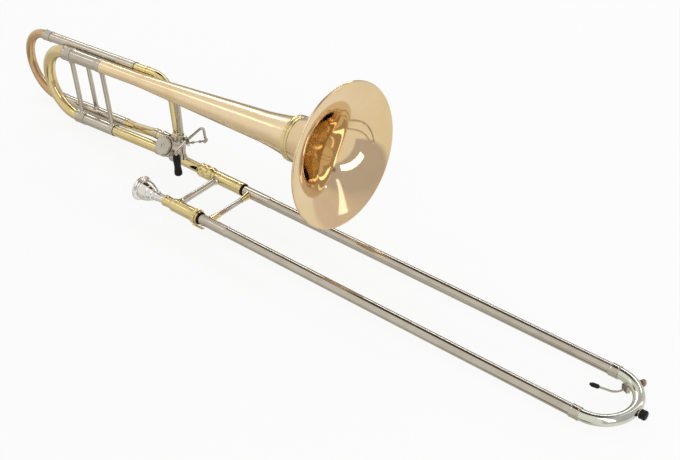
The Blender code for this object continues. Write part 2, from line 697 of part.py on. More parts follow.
def build_outer_slide(slide):
    """The moving half of the hand slide: outer tubes, brace, bow, ferrules and bumper."""
    sleeve_end = OUTER_TUBE_START + OUTER_SLEEVE_LENGTH
    tube_end = CROOK_JOINT - GAP / 2
    for side, line in (("near", NEAR), ("far", FAR)):
        axis = slide_axis(line)
        outer = turned(f"{side}_outer_tube", NICKEL, axis,
                       [(OUTER_TUBE_START, OUTER_SLEEVE_RADIUS), (sleeve_end, OUTER_SLEEVE_RADIUS),
                        (sleeve_end + MM, OUTER_TUBE_RADIUS), (tube_end, OUTER_TUBE_RADIUS)],
                       straight(OUTER_TUBE_START, tube_end, OUTER_TUBE_BORE), slide)
        if side == "near":
            turn = Matrix.Rotation(LOCK_HOOK_TURN - LOCK_STUD_TURN, 3, "X")
            place = NEAR + X_AXIS * (BARREL_END + LOCK_HOOK_REACH / 2)
            stud = rod("lock_stud", NICKEL, facing(place, turn @ Z_AXIS), OUTER_TUBE_BORE + 0.1 * MM,
                       OUTER_SLEEVE_RADIUS + LOCK_STUD_HEIGHT, LOCK_STUD_RADIUS, None, 10)
            combine(outer, stud, "UNION")
        tube(f"crook_ferrule_{side}", NICKEL, axis, CROOK_START - CROOK_FERRULE_LENGTH, CROOK_START,
             OUTER_TUBE_RADIUS + GAP + CROOK_FERRULE_WALL, CROOK_FERRULE_WALL, slide)

    path = crook_path()
    crook = swept("crook", NICKEL, path, [OUTER_TUBE_RADIUS] * len(path), CROOK_WALL, slide)
    hole = rod("drain_hole", NICKEL, nipple_frame(), OUTER_TUBE_RADIUS - 3 * MM, OUTER_TUBE_RADIUS + 3 * MM,
               NIPPLE_BORE_RADIUS, None, 8)
    combine(crook, hole, "DIFFERENCE")

    seat = OUTER_SLEEVE_RADIUS + GAP
    axis = facing(X_AXIS * OUTER_BRACE_PLACE, -Y_AXIS)
    foot_end = seat + BRACE_FOOT_LENGTH
    rod("outer_slide_brace", NICKEL, axis, foot_end + GAP, SLIDE_SPACING - foot_end - GAP,
        OUTER_BRACE_RADIUS, slide)
    for side, line, direction in (("far", FAR, -Y_AXIS), ("near", NEAR, Y_AXIS)):
        foot = turned(f"outer_brace_foot_{side}", YELLOW_BRASS,
                      facing(line + X_AXIS * OUTER_BRACE_PLACE, direction),
                      solid_side([(seat / 2, BRACE_FOOT_RADIUS), (foot_end, OUTER_BRACE_RADIUS + 0.5 * MM)]),
                      (), slide)
        cutter = rod("foot_seat", NICKEL, slide_axis(line), 0.0, 2 * OUTER_BRACE_PLACE, seat)
        combine(foot, cutter, "DIFFERENCE")

    holder_axis = slide_axis(Vector((0.0, -SLIDE_SPACING / 2, 0.0)))
    top = CROOK_APEX + BUMPER_HOLDER_LENGTH
    holder = rod("bumper_holder", NICKEL, holder_axis, CROOK_APEX - OUTER_TUBE_RADIUS / 2, top,
                 BUMPER_HOLDER_RADIUS, slide)
    combine(holder, crook_envelope(), "DIFFERENCE")
    mouth = CROOK_APEX + 2 * GAP
    end = CROOK_APEX + BUMPER_LENGTH
    bore = BUMPER_HOLDER_RADIUS + GAP
    turned("bumper_rubber", RUBBER, holder_axis,
           [(mouth, BUMPER_RADIUS), (end - MM, BUMPER_RADIUS), (end, BUMPER_RADIUS - MM), (end, 0.0)],
           [(mouth, bore), (top + GAP, bore), (top + GAP, 0.0)], slide)


def water_key_radial():
    """Direction across the bow's tube, outwards, at the water key."""
    return Vector((math.sin(WATER_KEY_TURN), math.cos(WATER_KEY_TURN), 0.0))


def water_key_place(out, rise=0.0, aside=0.0):
    """A point at the water key: out from the tube's centre line, up, and aside along the tube."""
    radial = water_key_radial()
    centre = Vector((CROOK_START, -SLIDE_SPACING / 2, 0.0)) + radial * CROOK_BEND
    return centre + radial * out + Z_AXIS * rise + Z_AXIS.cross(radial) * aside


def nipple_place(out, rise=0.0):
    """A point on the drain nipple's tilted axis, or square to it in the lever's plane."""
    return water_key_place(out * math.cos(NIPPLE_TILT) + rise * math.sin(NIPPLE_TILT),
                           rise * math.cos(NIPPLE_TILT) - out * math.sin(NIPPLE_TILT))


def nipple_frame():
    """Placement at the tube's centre line with local Z pointing out along the nipple."""
    return facing(water_key_place(0.0), (nipple_place(MM) - nipple_place(0.0)).normalized())


def build_water_key(slide):
    """Saddle and nipple on the bow, and the sprung lever with its cork and rubber tip."""
    radial = water_key_radial()
    along = Z_AXIS.cross(radial)
    turn = framed(Vector((0.0, 0.0, 0.0)), radial, along, Z_AXIS)
    pivot_out = -WATER_KEY_PIVOT_INSET
    pivot_rise = -WATER_KEY_PIVOT_DROP
    ear_place = HINGE_BARREL_LENGTH / 2 + HINGE_EAR_THICKNESS / 2
    width = HINGE_BARREL_LENGTH + 2 * HINGE_EAR_THICKNESS
    hinge = facing(water_key_place(pivot_out, pivot_rise), along)

    bridge_rise = pivot_rise + HINGE_BARREL_RADIUS + HINGE_FIT + HINGE_EAR_THICKNESS / 2
    bridge = Matrix.Translation(water_key_place(pivot_out + 2.6 * MM, bridge_rise)) @ turn
    saddle = block("water_key_saddle", NICKEL, bridge, (6.5 * MM, width, HINGE_EAR_THICKNESS), slide)
    for sign in (-1, 1):
        place = water_key_place(pivot_out, pivot_rise + 1.6 * MM, sign * ear_place)
        size = (2 * HINGE_PIN_RADIUS + 3.2 * MM, HINGE_EAR_THICKNESS, 2 * HINGE_BARREL_RADIUS + 2.6 * MM)
        ear = block("ear", NICKEL, Matrix.Translation(place) @ turn, size)
        combine(saddle, ear, "UNION")
    pin = rod("pin", NICKEL, hinge, -width / 2 - 0.6 * MM, width / 2 + 0.6 * MM, HINGE_PIN_RADIUS, None, 12)
    combine(saddle, pin, "UNION")
    combine(saddle, crook_envelope(), "DIFFERENCE")

    nipple_top = OUTER_TUBE_RADIUS + NIPPLE_HEIGHT
    nipple = tube("water_key_nipple", NICKEL, nipple_frame(), OUTER_TUBE_RADIUS / 2, nipple_top,
                  NIPPLE_RADIUS, NIPPLE_RADIUS - NIPPLE_BORE_RADIUS, slide)
    combine(nipple, crook_envelope(), "DIFFERENCE")

    body = pivot("water_key_axis", water_key_place(pivot_out, pivot_rise), slide)
    cork_start = nipple_top + GAP
    cork_end = cork_start + WATER_KEY_CORK_LENGTH
    rod("water_key_cork", CORK, nipple_frame(), cork_start, cork_end, WATER_KEY_CORK_RADIUS, body, 20)
    cup_start = cork_end + GAP
    lever = rod("water_key_lever", NICKEL, nipple_frame(), cup_start, cup_start + WATER_KEY_CUP_THICKNESS,
                WATER_KEY_CORK_RADIUS + 0.3 * MM, body, 20)
    low = -(OUTER_TUBE_RADIUS + WATER_KEY_WIRE_RADIUS + 2 * MM)
    back = cup_start + WATER_KEY_CUP_THICKNESS / 2
    wrap = rounded_path([water_key_place(pivot_out + HINGE_BARREL_RADIUS - 0.8 * MM, pivot_rise - 0.4 * MM),
                         water_key_place(-2 * MM, low), nipple_place(back + 1.6 * MM, -7.5 * MM),
                         nipple_place(back + 1.6 * MM, 2 * MM)], (5 * MM, 4 * MM), math.radians(20))
    tip = water_key_place(-WATER_KEY_TIP_REACH, WATER_KEY_TIP_RISE)
    inner_start = water_key_place(pivot_out - HINGE_BARREL_RADIUS + 0.8 * MM, pivot_rise + 0.4 * MM)
    hub = rod("hub", NICKEL, hinge, -HINGE_BARREL_LENGTH / 2 + GAP, HINGE_BARREL_LENGTH / 2 - GAP,
              HINGE_BARREL_RADIUS, None, 16)
    wrap_arm = swept("wrap_arm", NICKEL, wrap, [WATER_KEY_WIRE_RADIUS] * len(wrap), None, None, 3)
    combine(lever, wrap_arm, "UNION")
    combine(lever, hub, "UNION")
    finger_arm = swept("finger_arm", NICKEL, [inner_start, tip], [WATER_KEY_WIRE_RADIUS] * 2, None, None, 3)
    combine(lever, finger_arm, "UNION")
    hub_bore = rod("hub_bore", NICKEL, hinge, -width, width, HINGE_PIN_RADIUS + HINGE_FIT, None, 12)
    combine(lever, hub_bore, "DIFFERENCE")

    radius = WATER_KEY_TIP_RADIUS
    bore = WATER_KEY_WIRE_RADIUS + GAP
    end = 1.2 * MM
    turned("water_key_tip", RUBBER, facing(tip, (tip - inner_start).normalized()),
           [(-WATER_KEY_TIP_LENGTH, radius), (end - 0.6 * MM, radius), (end, radius - 0.8 * MM), (end, 0.0)],
           [(-WATER_KEY_TIP_LENGTH, bore), (GAP, bore), (GAP, 0.0)], body, 16)


def build_bell_tubes(bell):
    """Stem, main sleeves, lower leg, gooseneck and the braces between them."""
    stem_places = spread(SLEEVE_END - GAP, CONE_START, 1) + spread(CONE_START, CONE_END, 3)[1:]
    stem_places += spread(CONE_END, FLARE_JOINT + GAP / 2, 3)[1:]
    turned("bell_stem", GOLD_BRASS, bell_axis(), bell_side(stem_places),
           bell_side(stem_places, BELL_WALL), bell)
    ring_end = FLARE_JOINT + GAP / 2
    ring_start = ring_end + STEM_RING_LENGTH
    screw_ring = bell_radius(FLARE_JOINT) + GAP + SCREW_RING_WALL
    turned("stem_ring", YELLOW_BRASS, bell_axis(), straight(-ring_start, -ring_end, screw_ring),
           bell_side((ring_start, ring_end), -GAP), bell)

    tube("main_upper_sleeve", NICKEL, bell_axis(), -SLEEVE_START, -SLEEVE_END, STEM_RADIUS, WALL, bell)
    tube("main_lower_sleeve", NICKEL, bell_axis(TUNING_SPACING), -SLEEVE_START, -SLEEVE_END,
         LOWER_SLEEVE_RADIUS, WALL, bell)
    leg_end = Vector((VALVE_X - STUB_REACH - GAP, 0.0, 0.0))
    leg = rounded_path([bell_place(SLEEVE_END - GAP, TUNING_SPACING), LOWER_LEG_CORNER, leg_end], (60 * MM,),
                       math.radians(2))
    swept("main_lower_leg", YELLOW_BRASS, leg, [LOWER_LEG_RADIUS] * len(leg), WALL, bell)

    flange = LOCK_NUT_START + LOCK_NUT_LIP + GAP
    neck_start = VALVE_X + STUB_REACH + GAP
    flange_end = flange + NECK_FLANGE_LENGTH
    turned("gooseneck", YELLOW_BRASS, slide_axis(FAR),
           [(neck_start, GOOSENECK_RADIUS), (flange, GOOSENECK_RADIUS), (flange, TENON_RADIUS),
            (flange_end, TENON_RADIUS), (flange_end, GOOSENECK_RADIUS), (LOCK_NUT_END, GOOSENECK_RADIUS)],
           straight(neck_start, LOCK_NUT_END, GOOSENECK_RADIUS - GOOSENECK_WALL), bell)

    strut("sleeve_brace", NICKEL, bell_place(SLEEVE_BRACE_PLACE),
          bell_place(SLEEVE_BRACE_PLACE, TUNING_SPACING), TUNING_BRACE_RADIUS,
          (STEM_RADIUS, LOWER_SLEEVE_RADIUS), BELL_DIRECTION, bell)

    brace_back = (BELL_RIM.x - BELL_BRACE_X) / BELL_DIRECTION.x
    foot = Vector((BELL_BRACE_X, 0.0, 0.0))
    height = (bell_place(brace_back) - foot).length
    clamp = HINGE_BARREL_LENGTH / 2 + 2 * HINGE_EAR_THICKNESS
    radius = BELL_BRACE_RADIUS
    stem = bell_radius(brace_back)
    side = [(GOOSENECK_RADIUS / 2, radius + 3 * MM), (GOOSENECK_RADIUS + 3 * MM, radius + 2.4 * MM),
            (GOOSENECK_RADIUS + 10 * MM, radius + 1.2 * MM), (LEVER_AXIS_Z - clamp, radius),
            (LEVER_AXIS_Z + clamp, radius), (height - stem - 6 * MM, radius - 0.8 * MM),
            (height - stem / 2, radius + 1.6 * MM)]
    brace = turned("bell_brace", NICKEL, facing(foot, Z_AXIS), solid_side(side), (), bell)
    neck_seat = rod("neck_seat", NICKEL, slide_axis(foot), -30 * MM, 30 * MM, GOOSENECK_RADIUS + GAP)
    combine(brace, neck_seat, "DIFFERENCE")
    seat_places = (brace_back + 30 * MM, brace_back - 30 * MM)
    seat = turned("stem_seat", NICKEL, bell_axis(), solid_side(bell_side(seat_places, -GAP)))
    combine(brace, seat, "DIFFERENCE")


def build_bell_flare(bell):
    """The bell's flare, which screws off, and the ring that carries its thread."""
    body = pivot("bell_flare_axis", bell_place(FLARE_JOINT), bell)
    rim = horn_place(BELL_RADIUS - 1.15 * BELL_BEAD_RADIUS)
    depth = FLARE_JOINT - GAP / 2 - rim
    places = [rim + depth * (1.0 - share) ** 1.6 for share in spread(0.0, 1.0, FLARE_STEPS)][:-1]
    turned("bell_flare", GOLD_BRASS, bell_axis(), bell_side(places) + rim_bead(rim),
           bell_side(places, BELL_WALL), body, FLARE_SIDES)
    ring_start = FLARE_JOINT - GAP / 2
    ring_end = ring_start - FLARE_RING_LENGTH
    screw_ring = bell_radius(FLARE_JOINT) + GAP + SCREW_RING_WALL
    turned("flare_ring", YELLOW_BRASS, bell_axis(), straight(-ring_start, -ring_end, screw_ring),
           bell_side((ring_start, ring_end), -GAP), body, FLARE_SIDES)


def bow_path(start, offset=0.0):
    """Centre line of a tuning slide's bow, from its upper end round to its lower end."""
    middle = bell_place(start + BOW_LEAD, TUNING_SPACING / 2, offset)
    radius = TUNING_SPACING / 2
    bend = arc(middle, -BELL_DOWN * radius, -BELL_DIRECTION * BOW_DEPTH, math.pi, BOW_STEPS)
    return [bell_place(start, 0.0, offset)] + bend + [bell_place(start, TUNING_SPACING, offset)]


def leg_with_ferrule(name, placement, start, sleeve_start, insertion, radius, ferrule, parent):
    """Straight leg of a tuning slide: its ferrule outside the sleeve, its tube inside."""
    shoulder = sleeve_start + 2 * GAP
    turned(name, NICKEL, placement,
           [(-start, ferrule - 0.4 * MM), (-start + 0.8 * MM, ferrule), (-shoulder - 0.8 * MM, ferrule),
            (-shoulder, ferrule - 0.4 * MM), (-shoulder, radius), (-sleeve_start + insertion, radius)],
           straight(-start, -sleeve_start + insertion, radius - WALL), parent)


def build_main_tuning_slide(bell):
    """The main tuning slide: bow, legs with their ferrules, and the brace across them."""
    body = pivot("main_tuning_slide_axis", bell_place(SLEEVE_START), bell)
    upper_ferrule = STEM_RADIUS + TUNING_FERRULE_STAND
    lower_ferrule = LOWER_SLEEVE_RADIUS + TUNING_FERRULE_STAND
    path = bow_path(TUNING_BOW_START + GAP)
    radii = spread(UPPER_LEG_RADIUS, LOWER_INNER_LEG_RADIUS, len(path) - 1)
    swept("main_bow", YELLOW_BRASS, path, radii, WALL, body)
    leg_with_ferrule("main_upper_leg", bell_axis(), TUNING_BOW_START, SLEEVE_START, TUNING_LEG_INSERTION,
                     UPPER_LEG_RADIUS, upper_ferrule, body)
    leg_with_ferrule("main_lower_inner_leg", bell_axis(TUNING_SPACING), TUNING_BOW_START, SLEEVE_START,
                     TUNING_LEG_INSERTION, LOWER_INNER_LEG_RADIUS, lower_ferrule, body)
    strut("tuning_slide_brace", NICKEL, bell_place(TUNING_BRACE_PLACE),
          bell_place(TUNING_BRACE_PLACE, TUNING_SPACING), TUNING_BRACE_RADIUS,
          (upper_ferrule, lower_ferrule), BELL_DIRECTION, body)


def build_f_tubes(bell):
    """Fixed tubes of the F attachment: sleeves, pipes to the valve and the brace."""
    tube("f_upper_sleeve", NICKEL, bell_axis(0.0, F_OFFSET), -F_SLEEVE_START, -F_UPPER_SLEEVE_END,
         F_SLEEVE_RADIUS, WALL, bell)
    tube("f_lower_sleeve", NICKEL, bell_axis(TUNING_SPACING, F_OFFSET), -F_SLEEVE_START, -F_LOWER_SLEEVE_END,
         F_SLEEVE_RADIUS, WALL, bell)
    port_end = valve_place(F_PORT_ACROSS, F_PORT_REACH + GAP)
    down = rounded_path([bell_place(F_UPPER_SLEEVE_END - GAP, 0.0, F_OFFSET),
                         bell_place(F_BEND_PLACE, 0.0, F_OFFSET),
                         port_end + VALVE_UP * (F_PORT_BEND * 0.4), port_end], (F_BEND_RADIUS, F_PORT_BEND))
    swept("f_down_pipe", YELLOW_BRASS, down, [F_PIPE_RADIUS] * len(down), WALL, bell)
    return_end = valve_place(-STUB_REACH - GAP, F_RETURN_OFFSET)
    back = rounded_path([bell_place(F_LOWER_SLEEVE_END - GAP, TUNING_SPACING, F_OFFSET),
                         bell_place(F_LOWER_SLEEVE_END - F_RETURN_STRAIGHT, TUNING_SPACING, F_OFFSET),
                         return_end - X_AXIS * F_RETURN_LEAD, return_end], (2 * F_RETURN_BEND, F_RETURN_BEND),
                        math.radians(6))
    swept("f_return_pipe", YELLOW_BRASS, back, [F_PIPE_RADIUS] * len(back), WALL, bell)
    strut("f_brace", NICKEL, bell_place(F_BRACE_PLACE, 0.0, F_OFFSET),
          bell_place(F_BRACE_PLACE, TUNING_SPACING, F_OFFSET), F_BRACE_RADIUS,
          (F_SLEEVE_RADIUS, F_SLEEVE_RADIUS), BELL_DIRECTION, bell)


def build_f_tuning_slide(bell):
    """The tuning slide of the F attachment: its bow and two legs."""
    body = pivot("f_tuning_slide_axis", bell_place(F_SLEEVE_START, 0.0, F_OFFSET), bell)
    path = bow_path(F_BOW_START + GAP, F_OFFSET)
    swept("f_bow", GOLD_BRASS, path, [F_PIPE_RADIUS] * len(path), WALL, body)
    ferrule = F_SLEEVE_RADIUS + F_FERRULE_STAND
    for name, down in (("f_upper_leg", 0.0), ("f_lower_leg", TUNING_SPACING)):
        leg_with_ferrule(name, bell_axis(down, F_OFFSET), F_BOW_START, F_SLEEVE_START, F_LEG_INSERTION,
                         F_LEG_RADIUS, ferrule, body)


def build_valve(bell):
    """The rotary valve: casing with its four ports, cap, back plate, and the turning rotor."""
    casing = rod("valve_casing", NICKEL, valve_frame(), -CASING_HALF, CASING_HALF, CASING_RADIUS, bell,
                 VALVE_SIDES)
    main_port = valve_place(0.0, -VALVE_OFFSET)
    ports = ((main_port, X_AXIS, STUB_REACH), (main_port, -X_AXIS, STUB_REACH),
             (valve_place(0.0, F_RETURN_OFFSET), -X_AXIS, STUB_REACH),
             (valve_place(F_PORT_ACROSS), VALVE_UP, F_PORT_REACH))
    for place, direction, reach in ports:
        combine(casing, rod("stub", NICKEL, facing(place, direction), 0.0, reach, STUB_RADIUS), "UNION")
    chamber = rod("chamber", NICKEL, valve_frame(), -CASING_HALF - MM, CASING_HALF + MM, CHAMBER_RADIUS,
                  None, VALVE_SIDES)
    combine(casing, chamber, "DIFFERENCE")
    for place, direction, reach in ports:
        bore = rod("bore", NICKEL, facing(place, direction), 0.0, reach + MM, STUB_BORE_RADIUS)
        combine(casing, bore, "DIFFERENCE")

    front = CASING_HALF + GAP
    recess = front + CAP_THICKNESS / 2
    face = front + CAP_THICKNESS
    bearing = SPINDLE_RADIUS + TURNING_FIT
    turned("valve_cap", NICKEL, valve_frame(),
           [(front, CAP_RADIUS), (face - MM, CAP_RADIUS), (face, CAP_RADIUS - MM), (face, 0.0)],
           [(front, bearing), (recess, bearing), (recess, 0.0)], bell)
    rear = -CASING_HALF - GAP
    plate = turned("valve_back_plate", NICKEL, valve_frame(),
                   straight(rear - BACK_PLATE_THICKNESS, rear, CHAMBER_RADIUS),
                   straight(rear - BACK_PLATE_THICKNESS, rear, bearing), bell)
    clear = STOP_ARM_WIDTH / 2 + STOP_POST_RADIUS + STOP_PLAY
    lean = math.asin(clear / STOP_POST_PLACE)
    for angle in (STOP_ARM_REST - lean, STOP_ARM_REST + STOP_ARM_SWING + lean):
        place = valve_frame(math.cos(angle) * STOP_POST_PLACE, math.sin(angle) * STOP_POST_PLACE)
        post = rod("stop_post", NICKEL, place, STOP_ARM_PLANE - STOP_ARM_THICKNESS,
                   rear - BACK_PLATE_THICKNESS / 2, STOP_POST_RADIUS, None, 12)
        combine(plate, post, "UNION")

    body = pivot("rotor_axis", VALVE_CENTRE, bell)
    spindle_front = recess - GAP
    spindle_rear = STOP_ARM_PLANE - STOP_ARM_THICKNESS
    shoulder = SPINDLE_RADIUS + 3 * MM
    shoulder_end = ROTOR_HALF + 2 * MM
    side = [(spindle_rear, SPINDLE_RADIUS), (-shoulder_end, SPINDLE_RADIUS), (-shoulder_end, shoulder),
            (-ROTOR_HALF, shoulder), (-ROTOR_HALF, ROTOR_RADIUS), (ROTOR_HALF, ROTOR_RADIUS),
            (ROTOR_HALF, shoulder), (shoulder_end, shoulder), (shoulder_end, SPINDLE_RADIUS),
            (spindle_front, SPINDLE_RADIUS)]
    rotor = turned("rotor", YELLOW_BRASS, valve_frame(), solid_side(side), (), body, VALVE_SIDES)
    for sign in (-1, 1):
        passage = ring_cutter("passage", valve_frame(0.0, sign * ROTOR_RADIUS * math.sqrt(2)), ROTOR_RADIUS,
                              ROTOR_BORE_RADIUS)
        combine(rotor, passage, "DIFFERENCE")

    hub = SPINDLE_RADIUS + GAP + 2 * MM
    thick = STOP_ARM_THICKNESS / 2
    arm = rod("stop_arm", NICKEL, valve_frame(), STOP_ARM_PLANE - thick, STOP_ARM_PLANE + thick, hub, body)
    outward = X_AXIS * math.cos(STOP_ARM_REST) + VALVE_UP * math.sin(STOP_ARM_REST)
    reach = STOP_ARM_RADIUS + 2 * MM
    bar_place = framed(valve_place(0.0, 0.0, STOP_ARM_PLANE) + outward * reach / 2, outward,
                       VALVE_AXIS.cross(outward), VALVE_AXIS)
    combine(arm, block("bar", NICKEL, bar_place, (reach, STOP_ARM_WIDTH, STOP_ARM_THICKNESS)), "UNION")
    ball_frame = facing(valve_place() + outward * STOP_ARM_RADIUS, VALVE_AXIS)
    ball = turned("stop_ball", NICKEL, ball_frame,
                  ball_side(STOP_BALL_PLANE, BALL_RADIUS, BALL_NECK_RADIUS)
                  + [(STOP_ARM_PLANE, BALL_NECK_RADIUS), (STOP_ARM_PLANE, 0.0)], (), None, 12)
    combine(arm, ball, "UNION")
    hole = rod("spindle_hole", NICKEL, valve_frame(), 2 * STOP_BALL_PLANE, 0.0, SPINDLE_RADIUS + GAP, None,
               VALVE_SIDES)
    combine(arm, hole, "DIFFERENCE")


def ring_cutter(name, placement, major, minor):
    """A ring about local Z, used to bore a curved passage."""
    bpy.ops.mesh.primitive_torus_add(major_segments=32, minor_segments=12, major_radius=major,
                                     minor_radius=minor)
    ring = bpy.context.object
    ring.name = name
    for group in list(ring.users_collection):
        group.objects.unlink(ring)
    collection(PARTS_NAME).objects.link(ring)
    ring.data.materials.append(material(NICKEL))
    ring.matrix_world = placement
    bpy.context.view_layer.update()
    return ring


def build_thumb_lever(bell):
    """Saddle on the bell brace, sprung lever with its grip, and the link to the stop arm."""
    axis = Vector((LEVER_AXIS_X, 0.0, LEVER_AXIS_Z))
    hinge = facing(axis, Z_AXIS)
    half = HINGE_BARREL_LENGTH / 2
    ear_place = half + HINGE_EAR_THICKNESS / 2
    top = half + HINGE_EAR_THICKNESS
    sleeve = BELL_BRACE_RADIUS + GAP + LEVER_SADDLE_WALL
    brace_axis = facing(Vector((BELL_BRACE_X, 0.0, LEVER_AXIS_Z)), Z_AXIS)
    saddle = rod("lever_saddle", NICKEL, brace_axis, -top - 0.4 * MM, top + 0.4 * MM, sleeve, bell, 20)
    for sign in (-1, 1):
        lug_place = Vector(((BELL_BRACE_X + LEVER_AXIS_X) / 2, 0.0, LEVER_AXIS_Z + sign * ear_place))
        lug = block("lug", NICKEL, Matrix.Translation(lug_place),
                    (LEVER_AXIS_OFFSET, 1.6 * HINGE_BARREL_RADIUS, HINGE_EAR_THICKNESS - 0.4 * MM))
        combine(saddle, lug, "UNION")
        ear = rod("ear", NICKEL, hinge, sign * ear_place - HINGE_EAR_THICKNESS / 2,
                  sign * ear_place + HINGE_EAR_THICKNESS / 2, HINGE_BARREL_RADIUS, None, 16)
        combine(saddle, ear, "UNION")
    pin = rod("pin", NICKEL, hinge, -top - 0.8 * MM, top + 0.8 * MM, HINGE_PIN_RADIUS, None, 12)
    combine(saddle, pin, "UNION")
    brace_hole = rod("brace_hole", NICKEL, brace_axis, -2 * top, 2 * top, BELL_BRACE_RADIUS + GAP)
    combine(saddle, brace_hole, "DIFFERENCE")

    body = pivot("thumb_lever_axis", axis, bell)
    lever = rod("thumb_lever", NICKEL, hinge, -half + GAP, half - GAP, HINGE_BARREL_RADIUS, body, 16)
    wall = HINGE_BARREL_RADIUS - 0.7 * MM
    grip = Vector((LEVER_AXIS_X - 3 * MM, GRIP_PLACE, GRIP_TOP))
    grip_end = GRIP_TOP - GRIP_LENGTH
    near = rounded_path([axis - Y_AXIS * wall, grip + Z_AXIS * 8 * MM,
                         Vector((grip.x, grip.y, grip_end + 3 * MM))], (LEVER_BEND_RADIUS,), math.radians(20))
    corner = Vector((LEVER_AXIS_X + LEVER_BALL_LEAD / 2, LEVER_FAR_REACH, LEVER_AXIS_Z + LEVER_FAR_RISE))
    arm_end = LEVER_BALL + Z_AXIS * (LEVER_STUD + LEVER_SOCKET)
    far = rounded_path([axis + Y_AXIS * wall, corner, arm_end], (LEVER_BEND_RADIUS,), math.radians(20))
    for path in (near, far):
        combine(lever, swept("arm", NICKEL, path, [LEVER_ROD_RADIUS] * len(path), None, None, 4), "UNION")
    pin_hole = rod("pin_hole", NICKEL, hinge, -2 * top, 2 * top, HINGE_PIN_RADIUS + HINGE_FIT, None, 12)
    combine(lever, pin_hole, "DIFFERENCE")

    bore = LEVER_ROD_RADIUS + GAP
    radius = GRIP_RADIUS
    length = GRIP_LENGTH
    floor = length - 3 * MM + GAP
    turned("thumb_grip", RUBBER, facing(grip, -Z_AXIS),
           [(0.0, radius - 2.2 * MM), (1.5 * MM, radius - 1.0 * MM), (length * 0.28, radius - 0.5 * MM),
            (length * 0.55, radius - 1.3 * MM), (length * 0.85, radius), (length - 2 * MM, radius - 0.4 * MM),
            (length, radius - 2.4 * MM), (length, 0.0)],
           [(0.0, bore), (floor, bore), (floor, 0.0)], body, 20)
    ball_frame = facing(LEVER_BALL, Z_AXIS)
    socket = LEVER_STUD + LEVER_SOCKET - GAP
    turned("lever_ball", NICKEL, ball_frame,
           ball_side(0.0, BALL_RADIUS, BALL_NECK_RADIUS)
           + [(LEVER_STUD, BALL_NECK_RADIUS), (LEVER_STUD, LEVER_ROD_RADIUS), (socket, LEVER_ROD_RADIUS),
              (socket, 0.0)], (), body, 12)

    link_body = pivot("link_rod_axis", LEVER_BALL, body)
    outward = X_AXIS * math.cos(STOP_ARM_REST) + VALVE_UP * math.sin(STOP_ARM_REST)
    stop_ball = valve_place(0.0, 0.0, STOP_BALL_PLANE) + outward * STOP_ARM_RADIUS
    along = (stop_ball - LEVER_BALL).normalized()
    length = (stop_ball - LEVER_BALL).length
    eye_bore = BALL_RADIUS + EYE_PLAY
    eye = eye_bore + EYE_WALL
    rod_axis = facing(LEVER_BALL, along)
    inset = eye_bore + 0.4 * MM
    link = rod("link_rod", NICKEL, rod_axis, inset, length - inset, LINK_ROD_RADIUS, link_body, 10)
    for share in (0.3, 0.7):
        middle = length * share
        nut = rod("rod_nut", NICKEL, rod_axis, middle - ROD_NUT_LENGTH / 2, middle + ROD_NUT_LENGTH / 2,
                  ROD_NUT_RADIUS, None, 6)
        combine(link, nut, "UNION")
    for place, stud in ((LEVER_BALL, Z_AXIS), (stop_ball, VALVE_AXIS)):
        normal = Matrix.Rotation(EYE_ROLL, 3, along) @ (stud - along * stud.dot(along)).normalized()
        half = EYE_THICKNESS / 2
        ring = tube("eye", NICKEL, facing(place, normal), -half, half, eye, EYE_WALL)
        combine(link, ring, "UNION")


def main():
    """Build the trombone."""
    clear_scene()
    root = pivot("grip", Vector((0.0, 0.0, 0.0)))
    build_inner_slide(root)
    build_slide_lock(root)
    build_lock_nut(root)
    build_mouthpiece(root)
    slide = pivot("hand_slide_axis", Vector((0.0, 0.0, 0.0)), root)
    build_outer_slide(slide)
    build_water_key(slide)
    bell = pivot("bell_section_axis", X_AXIS * LOCK_NUT_END, root)
    build_bell_tubes(bell)
    build_bell_flare(bell)
    build_main_tuning_slide(bell)
    build_f_tubes(bell)
    build_f_tuning_slide(bell)
    build_valve(bell)
    build_thumb_lever(bell)


main()
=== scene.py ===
"""Looks of a tenor trombone with an open-wrap F attachment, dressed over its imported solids.

Frame: metres, +X along the hand slide towards its bow, +Z up. The origin is on the upper slide
tube's axis, at the joint where the left hand holds the slide. Sizes in the classes are in
millimetres and become metres where a shape is made.
"""

import json
import logging
import math
from dataclasses import dataclass
from enum import Enum
from typing import Callable, Iterable

import bmesh
import bpy
import numpy as np
from mathutils import Euler, Matrix

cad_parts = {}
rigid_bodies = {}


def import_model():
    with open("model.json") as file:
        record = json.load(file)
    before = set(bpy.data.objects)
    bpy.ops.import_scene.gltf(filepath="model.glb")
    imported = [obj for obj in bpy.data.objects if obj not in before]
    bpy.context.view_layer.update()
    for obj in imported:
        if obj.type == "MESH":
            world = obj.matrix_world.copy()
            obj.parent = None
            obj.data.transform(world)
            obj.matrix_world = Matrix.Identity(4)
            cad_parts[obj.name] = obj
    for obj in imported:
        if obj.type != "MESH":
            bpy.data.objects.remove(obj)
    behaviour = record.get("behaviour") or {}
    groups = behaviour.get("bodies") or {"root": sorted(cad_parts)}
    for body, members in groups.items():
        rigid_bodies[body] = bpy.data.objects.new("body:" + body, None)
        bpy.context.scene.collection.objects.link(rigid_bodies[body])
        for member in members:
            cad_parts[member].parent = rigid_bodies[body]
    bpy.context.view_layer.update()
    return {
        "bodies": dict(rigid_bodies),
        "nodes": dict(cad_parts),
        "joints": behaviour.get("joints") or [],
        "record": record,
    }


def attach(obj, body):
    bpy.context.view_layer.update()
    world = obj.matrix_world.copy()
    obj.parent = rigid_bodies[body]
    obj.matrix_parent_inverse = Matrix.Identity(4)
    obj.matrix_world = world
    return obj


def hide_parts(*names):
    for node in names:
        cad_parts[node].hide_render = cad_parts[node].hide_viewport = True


LOG = logging.getLogger("trombone")
MM = 0.001
Array = np.ndarray
X, Y, Z = np.eye(3)
TURN = 2.0 * math.pi
